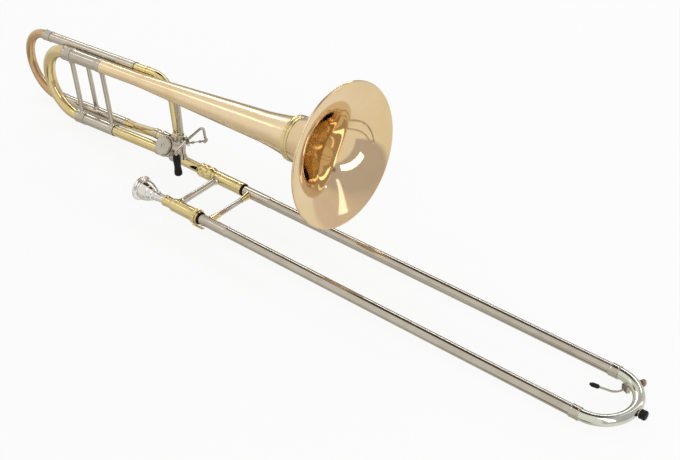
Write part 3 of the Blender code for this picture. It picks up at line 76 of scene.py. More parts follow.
SHARP_ANGLE = math.radians(42)
WELD_DISTANCE = 1e-7
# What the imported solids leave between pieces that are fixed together, and round what turns or slides,
# in millimetres
GAP = 0.3
PLAY = 0.35


class Body(Enum):
    """The bodies that pieces ride on."""

    HAND_GRIP = "inner_slide"
    SLIDE_LOCK = "slide_lock"
    LOCK_NUT = "lock_nut"
    MOUTHPIECE = "mouthpiece"
    OUTER_SLIDE = "outer_slide"
    WATER_KEY = "water_key"
    BELL_SECTION = "bell_section"
    BELL_FLARE = "bell_flare"
    MAIN_TUNING = "main_tuning_slide"
    F_TUNING = "f_tuning_slide"
    ROTOR = "rotor"
    THUMB_LEVER = "thumb_lever"
    LINK_ROD = "link_rod"


def unit(vector: Array) -> Array:
    """Return the vector at length one."""
    return vector / np.linalg.norm(vector)


@dataclass(frozen=True)
class Line:
    """A directed line in space, with two directions square to it."""

    start: Array
    along: Array
    across: Array
    aside: Array

    @classmethod
    def through(cls, start: Array, direction: Array, near: Array | None = None) -> "Line":
        """Make a line from a point and a direction.

        Args:
            start: The point that heights are measured from.
            direction: Where the heights grow.
            near: A direction that `across` lies close to: upwards, or +X on an upright line, if none.

        Returns:
            The line, with across and aside square to it.
        """
        along = unit(direction)
        if near is None:
            near = Z if abs(along[2]) < 0.9 else X
        across = unit(near - along * (near @ along))
        return cls(np.asarray(start, float), along, across, np.cross(along, across))

    def at(self, height: float, across: float = 0.0, aside: float = 0.0) -> Array:
        """Return the point at a height along the line and off it, in metres."""
        return self.start + self.along * height + self.across * across + self.aside * aside

    def around(self, height: Array, radius: Array, angle: Array) -> Array:
        """Return the points start + along h + r (across cos a + aside sin a)."""
        spoke = np.cos(angle)[..., None] * self.across + np.sin(angle)[..., None] * self.aside
        return self.start + height[..., None] * self.along + radius[..., None] * spoke


@dataclass
class Shape:
    """Points and four-sided faces of one or more closed surfaces."""

    points: Array
    faces: Array

    @classmethod
    def joined(cls, shapes: Iterable["Shape"]) -> "Shape":
        """Lay several shapes side by side in one.

        Args:
            shapes: The shapes.

        Returns:
            One shape with all their points and faces.
        """
        shapes = list(shapes)
        starts = np.cumsum([0] + [len(shape.points) for shape in shapes[:-1]])
        faces = [shape.faces + start for shape, start in zip(shapes, starts)]
        return cls(np.concatenate([shape.points for shape in shapes]), np.concatenate(faces))

    @classmethod
    def grid(cls, points: Array, ring: bool) -> "Shape":
        """Make a shape of a grid of points whose columns close on themselves.

        Face (i, j) joins points (i, j), (i, j + 1), (i + 1, j + 1) and (i + 1, j), counted round
        the columns, and round the rows too where ring is true.

        Args:
            points: The grid, by row, column and coordinate.
            ring: Whether the last row joins the first.

        Returns:
            The shape.
        """
        rows, columns = points.shape[:2]
        row = np.arange(rows if ring else rows - 1)[:, None]
        column = np.arange(columns)[None, :]
        below, above = row * columns, (row + 1) % rows * columns
        after = (column + 1) % columns
        faces = np.stack([below + column, below + after, above + after, above + column], -1)
        return cls(points.reshape(-1, 3), faces.reshape(-1, 4))


def profile(points: list[tuple[float, float]], ease: float = 0.0, ring: bool = True, steps: int = 4) -> Array:
    """Turn a list of (height, radius) in millimetres into a profile with eased corners.

    Each corner P between neighbours A and B becomes the curve (1-t)^2 a + 2 t (1-t) P + t^2 b,
    where a and b lie at most `ease` from P towards A and B.

    Args:
        points: The corners.
        ease: How far a corner's rounding reaches, in millimetres.
        ring: Whether the last point joins the first.
        steps: Points on each corner's curve.

    Returns:
        The profile as an array of (height, radius) in metres.
    """
    corner = np.array(points, float) * MM
    if ease <= 0.0:
        return corner
    back, ahead = np.roll(corner, 1, 0) - corner, np.roll(corner, -1, 0) - corner
    back_length = np.linalg.norm(back, axis=1, keepdims=True)
    ahead_length = np.linalg.norm(ahead, axis=1, keepdims=True)
    first = corner + back * np.minimum(ease * MM / np.maximum(back_length, 1e-9), 0.45)
    last = corner + ahead * np.minimum(ease * MM / np.maximum(ahead_length, 1e-9), 0.45)
    t = np.linspace(0.0, 1.0, steps)[None, :, None]
    curve = (1 - t) ** 2 * first[:, None] + 2 * t * (1 - t) * corner[:, None] + t ** 2 * last[:, None]
    if ring:
        return curve.reshape(-1, 2)
    return np.concatenate([corner[:1], curve[1:-1].reshape(-1, 2), corner[-1:]])


def turned(line: Line, outline: Array, sides: int = 96,
           ripple: Callable[[Array, Array, Array], Array] | None = None) -> Shape:
    """Turn a profile about a line.

    Point (i, j) = start + along h_i + r (across cos a_j + aside sin a_j), with r = r_i, or the
    ripple of height, angle and r_i. A profile with both ends on the line stays open there.

    Args:
        line: The line turned about.
        outline: (height, radius) in metres.
        sides: Points round the line.
        ripple: What changes the radius, for knurls and flats.

    Returns:
        The turned shape.
    """
    angle = np.linspace(0.0, TURN, sides, endpoint=False)[None, :]
    height = outline[:, :1]
    radius = outline[:, 1:] * np.ones_like(angle)
    if ripple is not None:
        radius = ripple(height, angle, radius)
    return Shape.grid(line.around(height, radius, angle), outline[0, 1] > 0.0)


def hoop(line: Line, start: float, end: float, radius: float, bore: float, ease: float,
         sides: int = 96, steps: int = 4) -> Shape:
    """A plain ring or tube between two heights of a line, all in millimetres."""
    return turned(line, profile([(start, radius), (end, radius), (end, bore), (start, bore)], ease,
                                steps=steps), sides)


def knurl(start: float, end: float, teeth: int, depth: float) -> Callable[[Array, Array, Array], Array]:
    """Ripple that cuts rounded teeth into a band of heights, all in millimetres.

    The radius loses depth * (1 - cos(teeth * angle)) / 2 inside the band, and on its outside only.

    Args:
        start: Height where the band begins.
        end: Height where it ends.
        teeth: How many teeth go round.
        depth: How deep they are.

    Returns:
        A function of height, angle and radius that gives the cut radius.
    """
    def cut(height: Array, angle: Array, radius: Array) -> Array:
        """Return the radius with the teeth cut in."""
        inside = (height > start * MM) & (height < end * MM) & (radius > 0.8 * radius.max())
        return radius - inside * depth * MM * (1.0 - np.cos(teeth * angle)) / 2.0
    return cut


def tooth_rows(start: float, end: float, radius: float, count: int = 3) -> list[tuple[float, float]]:
    """Rows of a knurled band between two heights, with steep ends."""
    inner = np.linspace(start + 0.15, end - 0.15, count)
    return [(start, radius)] + [(float(height), radius) for height in inner] + [(end, radius)]


def swept(path: Array, radius: float | Array, wall: float | None = None, upward: Array = Z,
          sides: int = 40) -> Shape:
    """Carry a round section along a path.

    Point (i, j) = p_i + r_i (n_i cos a_j + b_i sin a_j), where n_i is `upward` made square to the
    path's direction t_i, and b_i = t_i x n_i. With a wall, the inner side runs back inside.

    Args:
        path: Points in metres.
        radius: One radius or one for each point, in metres.
        wall: Thickness of a pipe's wall, or None for a solid rod.
        upward: A direction, or one for each point, never along the path.
        sides: Points round the section.

    Returns:
        The swept shape.
    """
    heading = np.gradient(path, axis=0)
    heading /= np.linalg.norm(heading, axis=1, keepdims=True)
    upward = np.broadcast_to(upward, path.shape)
    normal = upward - heading * np.sum(upward * heading, 1, keepdims=True)
    normal /= np.linalg.norm(normal, axis=1, keepdims=True)
    beside = np.cross(heading, normal)
    radii = np.broadcast_to(radius, len(path)).astype(float)
    if wall is None:
        order = np.concatenate([[0], np.arange(len(path)), [len(path) - 1]])
        scale = np.concatenate([[0.0], radii, [0.0]])
    else:
        order = np.concatenate([np.arange(len(path)), np.arange(len(path))[::-1]])
        scale = np.concatenate([radii, radii[::-1] - wall])
    angle = np.linspace(0.0, TURN, sides, endpoint=False)[None, :, None]
    spoke = np.cos(angle) * normal[order][:, None] + np.sin(angle) * beside[order][:, None]
    points = path[order][:, None] + scale[:, None, None] * spoke
    return Shape.grid(points, wall is not None)


def arc(centre: Array, start: Array, across: Array, angle: float, count: int) -> Array:
    """Points centre + start cos(a) + across sin(a), with a from 0 to an angle."""
    a = np.linspace(0.0, angle, count + 1)[:, None]
    return centre + start * np.cos(a) + across * np.sin(a)


def bent(corners: list[Array], radii: list[float], step: float = math.radians(3)) -> Array:
    """Path through corners, with each inner corner rounded to a bend.

    With the directions a and b from a corner to its neighbours, and the turn u between them, the
    bend's centre lies at the corner + unit(a + b) radius / cos(u / 2).

    Args:
        corners: The corners, in metres.
        radii: The bend's radius at each inner corner, in metres.
        step: The largest angle between two points of a bend.

    Returns:
        The path's points.
    """
    path = [corners[0][None]]
    for before, here, after, radius in zip(corners, corners[1:], corners[2:], radii):
        back, ahead = unit(before - here), unit(after - here)
        turn = math.pi - math.acos(float(np.clip(back @ ahead, -1.0, 1.0)))
        centre = here + unit(back + ahead) * (radius / math.cos(turn / 2))
        first = here + back * radius * math.tan(turn / 2)
        path.append(arc(centre, first - centre, -back * radius, turn, max(3, math.ceil(turn / step))))
    return np.concatenate(path + [corners[-1][None]])


def saddled(line: Line, length: float, share: Array, radius: Array, tubes: tuple[float, float],
            sides: int = 48) -> Shape:
    """A round bar between two tubes' axes, whose ends are cut to sit on the tubes.

    At the angle a round the bar, its ends stop at sqrt(R^2 - (r sin a)^2) from the tubes' axes,
    and its rows lie between them by their share.

    Args:
        line: The bar's axis, begun on the first tube's axis, with across along the tubes.
        length: Distance between the tubes' axes, in metres.
        share: Where each row lies, from 0 at the first tube to 1 at the second.
        radius: The bar's radius at each row, in metres.
        tubes: The tubes' radii in millimetres, with 0 for a flat end.
        sides: Points round the bar.

    Returns:
        The bar.
    """
    angle = np.linspace(0.0, TURN, sides, endpoint=False)[None, :]
    share, radius = share[:, None], radius[:, None]
    off = radius * np.sin(angle)
    seat = [np.sqrt(np.maximum((size * MM) ** 2 - off ** 2, 0.0)) for size in tubes]
    height = seat[0] * (1 - share) + (length - seat[1]) * share
    first = np.broadcast_to(line.at(tubes[0] * MM), (1, sides, 3))
    last = np.broadcast_to(line.at(length - tubes[1] * MM), (1, sides, 3))
    return Shape.grid(np.concatenate([first, line.around(height, radius, angle), last]), False)


def saddled_bar(start: Array, end: Array, radius: float, tubes: tuple[float, float], tube_axis: Array,
                spread: float = 2.2, reach: float = 6.0) -> Shape:
    """A brace between two tubes' axes whose flared ends sit on the tubes.

    Its radius is radius + spread (1 - s / reach)^2 at a distance s from either tube.

    Args:
        start: Point on the first tube's axis, in metres.
        end: Point on the second tube's axis.
        radius: The bar's radius in millimetres.
        tubes: The two tubes' radii in millimetres.
        tube_axis: Direction of the tubes.
        spread: How much wider the ends are, in millimetres.
        reach: Length of the flared ends, in millimetres.

    Returns:
        The brace.
    """
    length = float(np.linalg.norm(end - start))
    near = np.linspace(0.0, reach, 9) * MM
    free = length - (tubes[0] + tubes[1]) * MM
    place = np.concatenate([near, np.linspace(near[-1], free - near[-1], 6)[1:-1], free - near[::-1]])
    edge = np.clip(1.0 - np.minimum(place, free - place) / (reach * MM), 0.0, 1.0)
    bar = radius * MM + spread * MM * edge ** 2
    return saddled(Line.through(start, end - start, tube_axis), length, place / free, bar, tubes)


def block(centre: Array, axes: tuple[Array, Array, Array], size: tuple[float, float, float],
          ease: float = 0.4) -> Shape:
    """A box with rounded edges.

    With n the points of a unit sphere, point = centre + sum of axis_k ((half_k - ease) sign(n_k)
    + ease n_k), so that the sphere's eighths become the box's rounded corners.

    Args:
        centre: The box's middle, in metres.
        axes: Its three directions.
        size: Its three lengths in millimetres.
        ease: The edges' radius in millimetres.

    Returns:
        The box.
    """
    rise = np.concatenate([[-90.0], np.linspace(-82.0, -1.0, 8), np.linspace(1.0, 82.0, 8), [90.0]])
    quarter = np.linspace(1.0, 89.0, 7)
    turn = np.concatenate([quarter + 90.0 * k for k in range(4)])
    b, a = np.radians(rise)[:, None], np.radians(turn)[None, :]
    sphere = np.stack([np.cos(b) * np.cos(a), np.cos(b) * np.sin(a), np.sin(b) * np.ones_like(a)], -1)
    sphere[[0, -1], :, :2] = 0.0
    half = np.array(size) / 2 - ease
    local = (half * np.sign(sphere) + ease * sphere) * MM
    points = centre + local @ np.stack([unit(axis) for axis in axes])
    return Shape.grid(points, False)


def ball(centre: Array, radius: float, axis: Array = Z) -> Shape:
    """A ball turned from a half circle.

    Args:
        centre: Its middle, in metres.
        radius: Its radius in millimetres.
        axis: The line between its poles.

    Returns:
        The ball.
    """
    rise = np.linspace(-math.pi / 2, math.pi / 2, 25)
    side = radius * MM * np.stack([np.sin(rise), np.cos(rise)], 1)
    side[[0, -1], 1] = 0.0
    return turned(Line.through(centre, axis), side, 40)


def stud(line: Line, start: float, end: float, radius: float, ease: float = 0.3, sides: int = 40) -> Shape:
    """A solid round bar between two heights of a line, all in millimetres."""
    return turned(line, profile([(start, 0.0), (start, radius), (end, radius), (end, 0.0)], ease, False),
                  sides)


def hexagon(line: Line, start: float, end: float, radius: float) -> Shape:
    """A six-sided nut: its radius follows cos(30) / cos(angle within a side).

    Args:
        line: The nut's axis.
        start: Height where it begins, in millimetres.
        end: Height where it ends.
        radius: Distance from its axis to its corners.

    Returns:
        The nut.
    """
    def flats(height: Array, angle: Array, side: Array) -> Array:
        """Return the radius with the six flats cut."""
        within = np.mod(angle, TURN / 6) - TURN / 12
        return np.minimum(side, side.max() * math.cos(TURN / 12) / np.cos(within) + 0.02 * side.max())
    outline = profile([(start, 0.0), (start, radius), (end, radius), (end, 0.0)], 0.25, False)
    return turned(line, outline, 72, flats)


def coil(line: Line, start: float, end: float, radius: float, wire: float, turns: float) -> Shape:
    """A coil spring: the helix start + along h + r (across cos a + aside sin a).

    Args:
        line: The coil's axis.
        start: Height where it begins, in millimetres.
        end: Height where it ends.
        radius: Radius of the wire's centre line.
        wire: Radius of the wire.
        turns: How often it goes round.

    Returns:
        The spring.
    """
    share = np.linspace(0.0, 1.0, int(turns * 24) + 1)[:, None]
    angle = share * turns * TURN
    out = np.cos(angle) * line.across + np.sin(angle) * line.aside
    path = line.start + line.along * (start + (end - start) * share) * MM + out * radius * MM
    return swept(path, wire * MM, None, out, 12)


def linear(code: str) -> tuple[float, float, float, float]:
    """Turn an sRGB hex colour into linear values with full opacity."""
    parts = [int(code[i:i + 2], 16) / 255.0 for i in (1, 3, 5)]
    return tuple(c / 12.92 if c <= 0.04045 else ((c + 0.055) / 1.055) ** 2.4 for c in parts) + (1.0,)


def add(tree: bpy.types.NodeTree, kind: str, inputs: dict | None = None, **settings: str) -> bpy.types.Node:
    """Add a shader node.

    Args:
        tree: The node tree it goes in.
        kind: The node's type, without the words that all shader nodes' types begin with.
        inputs: What its inputs get, by name or number: a value, another node's output, or a node
            for that node's first output.
        settings: Attributes to set on it.

    Returns:
        The node.
    """
    node = tree.nodes.new("ShaderNode" + kind)
    for name, value in settings.items():
        setattr(node, name, value)
    for name, value in (inputs or {}).items():
        if isinstance(value, bpy.types.Node):
            value = value.outputs[0]
        if isinstance(value, bpy.types.NodeSocket):
            tree.links.new(value, node.inputs[name])
        else:
            node.inputs[name].default_value = value
    return node


def blank_material(name: str) -> tuple[bpy.types.Material, bpy.types.NodeTree]:
    """Make a material with an empty node tree.

    Args:
        name: The material's name.

    Returns:
        The material and its tree.
    """
    made = bpy.data.materials.new(name)
    made.use_nodes = True
    made.node_tree.nodes.clear()
    return made, made.node_tree


@dataclass(frozen=True)
class Metal:
    """A polished metal: even colour with faint patches, fine buffing marks and hazy spots.

    Attributes:
        name: The metal and how it was finished.
        slot: The record's material slot.
        colour: Main colour.
        patch_colour: Colour of the faint patches, where the metal or its lacquer is darker.
        roughness: Typical roughness of the polish.
        haze: How much the roughness varies.
        patch_size: Width of the patches in millimetres.
        buff_size: Spacing of the buffing marks in millimetres. The real ones are near 0.05 mm, and
            are drawn as coarse as they need to show.
        buff_depth: Depth of the buffing marks in millimetres.
        lacquer: Weight of the clear lacquer over the metal.
        spot_size: Width of the hazy spots in millimetres.
    """

    name: str
    slot: str
    colour: str
    patch_colour: str
    roughness: float
    haze: float = 0.03
    patch_size: float = 22.0
    buff_size: float = 0.5
    buff_depth: float = 0.0004
    lacquer: float = 0.0
    spot_size: float = 7.0

    def build(self) -> bpy.types.Material:
        """Make the material's nodes.

        Returns:
            The material.
        """
        made, tree = blank_material(self.name)
        place = add(tree, "TexCoord").outputs["Object"]
        patches = add(tree, "TexNoise", {"Vector": place, "Scale": 1.0 / (self.patch_size * MM),
                                         "Detail": 4.0, "Roughness": 0.6})
        tint = add(tree, "ValToRGB", {"Fac": patches})
        dark, light = tint.color_ramp.elements
        dark.position, dark.color = 0.36, linear(self.patch_colour)
        light.position, light.color = 0.6, linear(self.colour)
        spots = add(tree, "TexNoise", {"Vector": place, "Scale": 1.0 / (self.spot_size * MM), "Detail": 5.0,
                                       "Roughness": 0.65})
        polish = add(tree, "MapRange", {"Value": spots, "From Min": 0.3, "From Max": 0.7,
                                        "To Min": self.roughness - self.haze,
                                        "To Max": self.roughness + self.haze})
        marks = add(tree, "TexNoise", {"Vector": place, "Scale": 1.0 / (self.buff_size * MM), "Detail": 3.0,
                                       "Roughness": 0.7})
        relief = add(tree, "Bump", {"Height": marks, "Strength": 0.2, "Distance": self.buff_depth * MM})
        shader = add(tree, "BsdfPrincipled", {
            "Base Color": tint, "Roughness": polish, "Normal": relief, "Metallic": 1.0,
            "Coat Weight": self.lacquer, "Coat Roughness": 0.06})
        add(tree, "OutputMaterial", {"Surface": shader})
        return made


@dataclass(frozen=True)
class Moulding:
    """A matt moulded or cut material: rubber, felt or cork, with grains of its own size.

    Attributes:
        name: The material and how it was made.
        slot: The record's material slot.
        colour: Main colour.
        grain_colour: Colour of its grains or worn spots.
        roughness: Typical roughness.
        grain_size: Width of the grains in millimetres.
        relief: Depth of the grains in millimetres.
        grain_share: How much of the surface the grains take, from 0 to 1.
        gloss: Strength of its reflections, where 0.5 is a smooth surface's.
    """

    name: str
    slot: str
    colour: str
    grain_colour: str
    roughness: float
    grain_size: float
    relief: float
    grain_share: float = 0.45
    gloss: float = 0.5

    def build(self) -> bpy.types.Material:
        """Make the material's nodes.

        Returns:
            The material.
        """
        made, tree = blank_material(self.name)
        place = add(tree, "TexCoord").outputs["Object"]
        grains = add(tree, "TexVoronoi", {"Vector": place, "Scale": 1.0 / (self.grain_size * MM)})
        cloud = add(tree, "TexNoise", {"Vector": place, "Scale": 1.0 / (4.0 * self.grain_size * MM),
                                       "Detail": 5.0})
        both = add(tree, "Math", {0: grains, 1: cloud}, operation="MULTIPLY")
        tint = add(tree, "ValToRGB", {"Fac": both})
        dark, light = tint.color_ramp.elements
        dark.position, dark.color = 0.1, linear(self.grain_colour)
        light.position, light.color = self.grain_share, linear(self.colour)
        dull = add(tree, "MapRange", {"Value": cloud, "From Min": 0.3, "From Max": 0.7,
                                      "To Min": self.roughness - 0.08, "To Max": self.roughness + 0.08})
        relief = add(tree, "Bump", {"Height": both, "Strength": 0.5, "Distance": self.relief * MM})
        shader = add(tree, "BsdfPrincipled", {
            "Base Color": tint, "Roughness": dull, "Normal": relief, "IOR": 1.52,
            "Specular IOR Level": self.gloss})
        add(tree, "OutputMaterial", {"Surface": shader})
        return made


class Finish(Enum):
    """The finishes that the trombone's pieces have."""

    # Drawn and buffed yellow brass under clear lacquer: greenish gold, mirror bright
    YELLOW_BRASS = Metal("lacquered_yellow_brass", "yellow_brass", "#DAC994", "#D3C088", 0.1, lacquer=0.3)
    # Spun gold brass with more copper in it, lacquered: light pinkish tan, mirror bright
    GOLD_BRASS = Metal("lacquered_gold_brass", "gold_brass", "#E2CAA0", "#DEC498", 0.075, 0.02, 60.0,
                       lacquer=0.3)
    # The same brass drawn over a mandrel into the stem, given a lighter colour than the flare, with softer
    # reflections
    STEM_BRASS = Metal("drawn_gold_brass_cone", "gold_brass", "#EDD8B2", "#E4CBA2", 0.2, 0.04, 60.0,
                       lacquer=0.3)
    # The same brass in a drawn bow, given a darker, browner colour
    BOW_BRASS = Metal("drawn_gold_brass", "gold_brass", "#C9A87C", "#BF9C70", 0.11, lacquer=0.3)
    # Drawn nickel silver, buffed: warm grey
    NICKEL = Metal("buffed_nickel_silver", "nickel_silver", "#C0BAAE", "#B8B1A4", 0.12)
    # The slide's bow: nickel silver given a lighter, a little greener colour than the tubes
    BOW_NICKEL = Metal("pale_nickel_silver_bow", "nickel_silver", "#D7DACE", "#CDD0C3", 0.09)
    # Silver plate over brass: cold and very bright
    SILVER = Metal("bright_silver_plate", "silver_plate", "#E6E5E3", "#DBDAD7", 0.05, 0.02)
    # Hardened wire left bare: darker grey
    SPRING_STEEL = Metal("bare_spring_wire", "nickel_silver", "#8E8A84", "#7A766F", 0.28, 0.05)
    # Slide grease that has darkened in a joint, made darker still as painted shade of the joint's gap
    DARK_GREASE_AND_SHADE = Moulding("darkened_grease_and_painted_joint_shade", "black_rubber", "#2E2A22", "#1D1A15", 0.35, 0.5, 0.02)
    # Moulded rubber with a faint bloom
    RUBBER = Moulding("moulded_black_rubber", "black_rubber", "#0D0D0E", "#171718", 0.55, 0.6, 0.03,
                      gloss=0.2)
    # Cut cork pad with dark pores
    CORK = Moulding("cut_natural_cork", "natural_cork", "#AD8463", "#6F4A33", 0.8, 0.9, 0.12, 0.3)


class Bench:
    """Holds the frame and the made materials, and puts finished shapes on the frame."""

    def __init__(self, frame: dict) -> None:
        self.frame = frame
        self.made: dict[Finish, bpy.types.Material] = {}

    def material(self, finish: Finish) -> bpy.types.Material:
        """Build a finish's material on its first use.

        Args:
            finish: The finish.

        Returns:
            Its material.
        """
        if finish not in self.made:
            self.made[finish] = finish.value.build()
        return self.made[finish]

    def fit(self, name: str, shapes: Shape | list[Shape], finish: Finish, body: Body,
            *replaced: str) -> None:
        """Make a piece of shapes, dress it and mount it.

        Args:
            name: The piece's name.
            shapes: One shape, or several that make up the piece.
            finish: What it is made of.
            body: What it moves with.
            replaced: CAD nodes that it stands for.
        """
        shape = shapes if isinstance(shapes, Shape) else Shape.joined(shapes)
        mesh = bpy.data.meshes.new(name)
        mesh.from_pydata(shape.points, [], shape.faces)
        work = bmesh.new()
        work.from_mesh(mesh)
        bmesh.ops.remove_doubles(work, verts=work.verts, dist=WELD_DISTANCE)
        bmesh.ops.dissolve_degenerate(work, edges=work.edges, dist=WELD_DISTANCE)
        bmesh.ops.recalc_face_normals(work, faces=work.faces)
        work.to_mesh(mesh)
        work.free()
        mesh.shade_smooth()
        mesh.set_sharp_from_angle(angle=SHARP_ANGLE)
        piece = bpy.data.objects.new(name, mesh)
        bpy.context.scene.collection.objects.link(piece)
        mesh.materials.append(self.material(finish))
        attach(piece, body.value)
        if replaced:
            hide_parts(*replaced)
        LOG.info("%s: %d faces, %s, on %s", name, len(mesh.polygons), finish.value.name, body.value)

    def dress(self, node: str, finish: Finish) -> None:
        """Give a CAD node that stays in sight its finish.

        Args:
            node: The node's name.
            finish: What it is made of.
        """
        slots = self.frame["nodes"][node].data.materials
        slots.clear()
        slots.append(self.material(finish))
        LOG.info("%s: kept as it is, %s", node, finish.value.name)


@dataclass(frozen=True)
class SlideTubes:
    """Sizes that the hand slide's parts share, in millimetres."""

    spacing: float = 93.0
    inner_radius: float = 7.25
    inner_wall: float = 0.35
    bore: float = 7.45
    outer_radius: float = 7.75
    barrel_start: float = 5.0
    barrel_end: float = 62.0
    barrel_radius: float = 10.2

    def axis(self, side: str) -> Line:
        """Return the axis of the near or far slide tube, heights along +X."""
        offset = -self.spacing * MM if side == "near" else 0.0
        return Line.through(Y * offset, X)


@dataclass(frozen=True)
class InnerSlide:
    """The fixed half of the hand slide, held in the left hand."""

    tubes: SlideTubes = SlideTubes()
    inner_end: float = 690.0
    collar: float = 6.0
    ring_inset: float = 0.5
    ring_length: float = 2.0
    brace_place: float = 10.5
    brace_radius: float = 4.9
    receiver_start: float = -13.0
    receiver_radius: float = 8.6
    receiver_bore: float = 6.6
    tenon_start: float = -22.0
    tenon_radius: float = 9.05
    tenon_bore: float = 8.05

    def barrel(self, line: Line) -> Shape:
        """A cork barrel: the sleeve that the outer slide's end runs into, with a lip and two lines.

        Args:
            line: The slide tube's axis.

        Returns:
            The barrel.
        """
        size = self.tubes
        start, end, radius = size.barrel_start, size.barrel_end, size.barrel_radius
        neck, bore = size.inner_radius + GAP, size.outer_radius + PLAY
        body = radius - 0.3
        side = [(start, radius - 1.2), (start + 2.0, body), (start + 10.4, body), (start + 10.7, body - 0.35),
                (start + 11.2, body - 0.35), (start + 11.5, body), (end - 9.6, body), (end - 9.3, body - 0.3),
                (end - 8.9, body - 0.3), (end - 8.6, body), (end - 6.0, body), (end - 5.0, radius),
                (end, radius), (end, bore), (start + self.collar, bore), (start + self.collar, neck),
                (start, neck)]
        return turned(line, profile(side, 0.35))

    def receiver(self, line: Line) -> Shape:
        """The mouthpiece receiver, with a rolled lip and a stepped body.

        Args:
            line: The near slide tube's axis.

        Returns:
            The receiver.
        """
        start, radius, bore = self.receiver_start, self.receiver_radius, self.receiver_bore
        end = self.tubes.barrel_start - GAP
        body = radius - 0.5
        side = [(start, radius - 0.7), (start + 1.0, radius), (start + 5.0, radius), (start + 6.0, body),
                (end - 2.2, body), (end - 1.8, body + 0.35), (end, body + 0.35), (end, bore), (start, bore)]
        return turned(line, profile(side, 0.5))

    def build(self, bench: Bench) -> None:
        """Build barrels, rings, tubes, receiver, tenon and brace.

        Args:
            bench: Where the pieces go.
        """
        size, body = self.tubes, Body.HAND_GRIP
        ring = size.barrel_end + GAP
        for side in ("near", "far"):
            line = size.axis(side)
            bench.fit(f"{side}_cork_barrel", self.barrel(line), Finish.YELLOW_BRASS, body, f"{side}_barrel")
            rubber = hoop(line, ring, ring + self.ring_length, size.barrel_radius - self.ring_inset,
                          size.outer_radius + PLAY, 0.9)
            bench.fit(f"{side}_rubber_ring", rubber, Finish.RUBBER, body, f"{side}_barrel_ring")
            tube = hoop(line, size.barrel_start + GAP, self.inner_end, size.inner_radius,
                        size.inner_radius - size.inner_wall, 0.14)
            bench.fit(f"{side}_inner_slide_tube", tube, Finish.NICKEL, body, f"{side}_inner_tube")
        near, far = size.axis("near"), size.axis("far")
        bench.fit("mouthpiece_receiver_sleeve", self.receiver(near), Finish.YELLOW_BRASS, body,
                  "mouthpiece_receiver")
        tenon = hoop(far, self.tenon_start, size.barrel_start - GAP, self.tenon_radius, self.tenon_bore, 0.3)
        bench.fit("threaded_tenon", tenon, Finish.YELLOW_BRASS, body, "slide_tenon")
        place = self.brace_place * MM
        brace = saddled_bar(far.at(place), near.at(place), self.brace_radius,
                            (size.barrel_radius, size.barrel_radius), X)
        bench.fit("hand_brace", brace, Finish.NICKEL, body, "inner_slide_brace")
        bench.dress("leadpipe", Finish.YELLOW_BRASS)


@dataclass(frozen=True)
class SlideLock:
    """The turning ring on the near barrel whose hook holds the slide closed."""

    tubes: SlideTubes = SlideTubes()
    length: float = 7.0
    wall: float = 1.2
    hook_reach: float = 21.0
    hook_width: float = 6.0
    hook_thickness: float = 1.6
    hook_lift: float = 0.8
    hook_turn: float = math.radians(155)

    def build(self, bench: Bench) -> None:
        """Build the knurled ring with its hook.

        Args:
            bench: Where the piece goes.
        """
        line = self.tubes.axis("near")
        bore = self.tubes.barrel_radius + PLAY
        radius = bore + self.wall
        start = self.tubes.barrel_end - self.length - 3.0
        end = start + self.length
        rows = [(start, bore), (start, radius)] + tooth_rows(start + 1.2, end - 1.2, radius) + [
            (end, radius), (end, bore)]
        ring = turned(line, profile(rows, 0.2, steps=3), 240, knurl(start + 1.25, end - 1.25, 60, 0.3))
        outward = Y * -math.sin(self.hook_turn) + Z * math.cos(self.hook_turn)
        axes = (X, np.cross(outward, X), outward)
        lift = radius + self.hook_thickness / 2 + self.hook_lift
        reach, width = self.hook_reach, self.hook_width
        parts = [block(line.at((start + place) * MM) + outward * rise * MM, axes, size, ease)
                 for place, rise, size, ease in (
                     (reach / 2, lift, (reach, width, self.hook_thickness), 0.6),
                     (self.length / 2, lift - 1.1, (self.length - 1.0, width - 1.0, 2.6), 0.5),
                     (reach - 1.2, lift - 0.4, (2.2, width, 2.2), 0.5))]
        bench.fit("slide_lock_ring_and_hook", [ring] + parts, Finish.YELLOW_BRASS, Body.SLIDE_LOCK,
                  "slide_lock_ring")


@dataclass(frozen=True)
class LockNut:
    """The nut that draws the bell section and the hand slide together."""

    start: float = -31.0
    end: float = -1.0
    radius: float = 11.1
    neck: float = 8.1
    bore: float = 9.4
    lip: float = 6.0

    def build(self, bench: Bench) -> None:
        """Build the nut with its two knurled bands.

        Args:
            bench: Where the piece goes.
        """
        start, end, radius = self.start, self.end, self.radius
        side = [(start, self.neck), (start, self.neck + 1.4), (start + 3.0, radius - 0.8),
                (start + 5.0, radius)]
        side += tooth_rows(start + 6.5, start + 11.5, radius)
        side += [(start + 13.0, radius), (start + 13.6, radius - 0.7), (start + 17.0, radius - 0.7),
                 (start + 17.6, radius)]
        side += tooth_rows(end - 10.5, end - 6.0, radius)
        side += [(end - 4.0, radius), (end - 1.5, radius - 0.9), (end, radius - 0.9), (end, self.bore),
                 (start + self.lip, self.bore), (start + self.lip, self.neck)]
        first = knurl(start + 6.6, start + 11.4, 42, 0.5)
        second = knurl(end - 10.4, end - 6.1, 42, 0.5)

        def both(height: Array, angle: Array, radii: Array) -> Array:
            """Cut both bands."""
            return second(height, angle, first(height, angle, radii))

        nut = turned(SlideTubes().axis("far"), profile(side, 0.2, steps=3), 252, both)
        bench.fit("slide_lock_nut", nut, Finish.YELLOW_BRASS, Body.LOCK_NUT, "lock_nut")


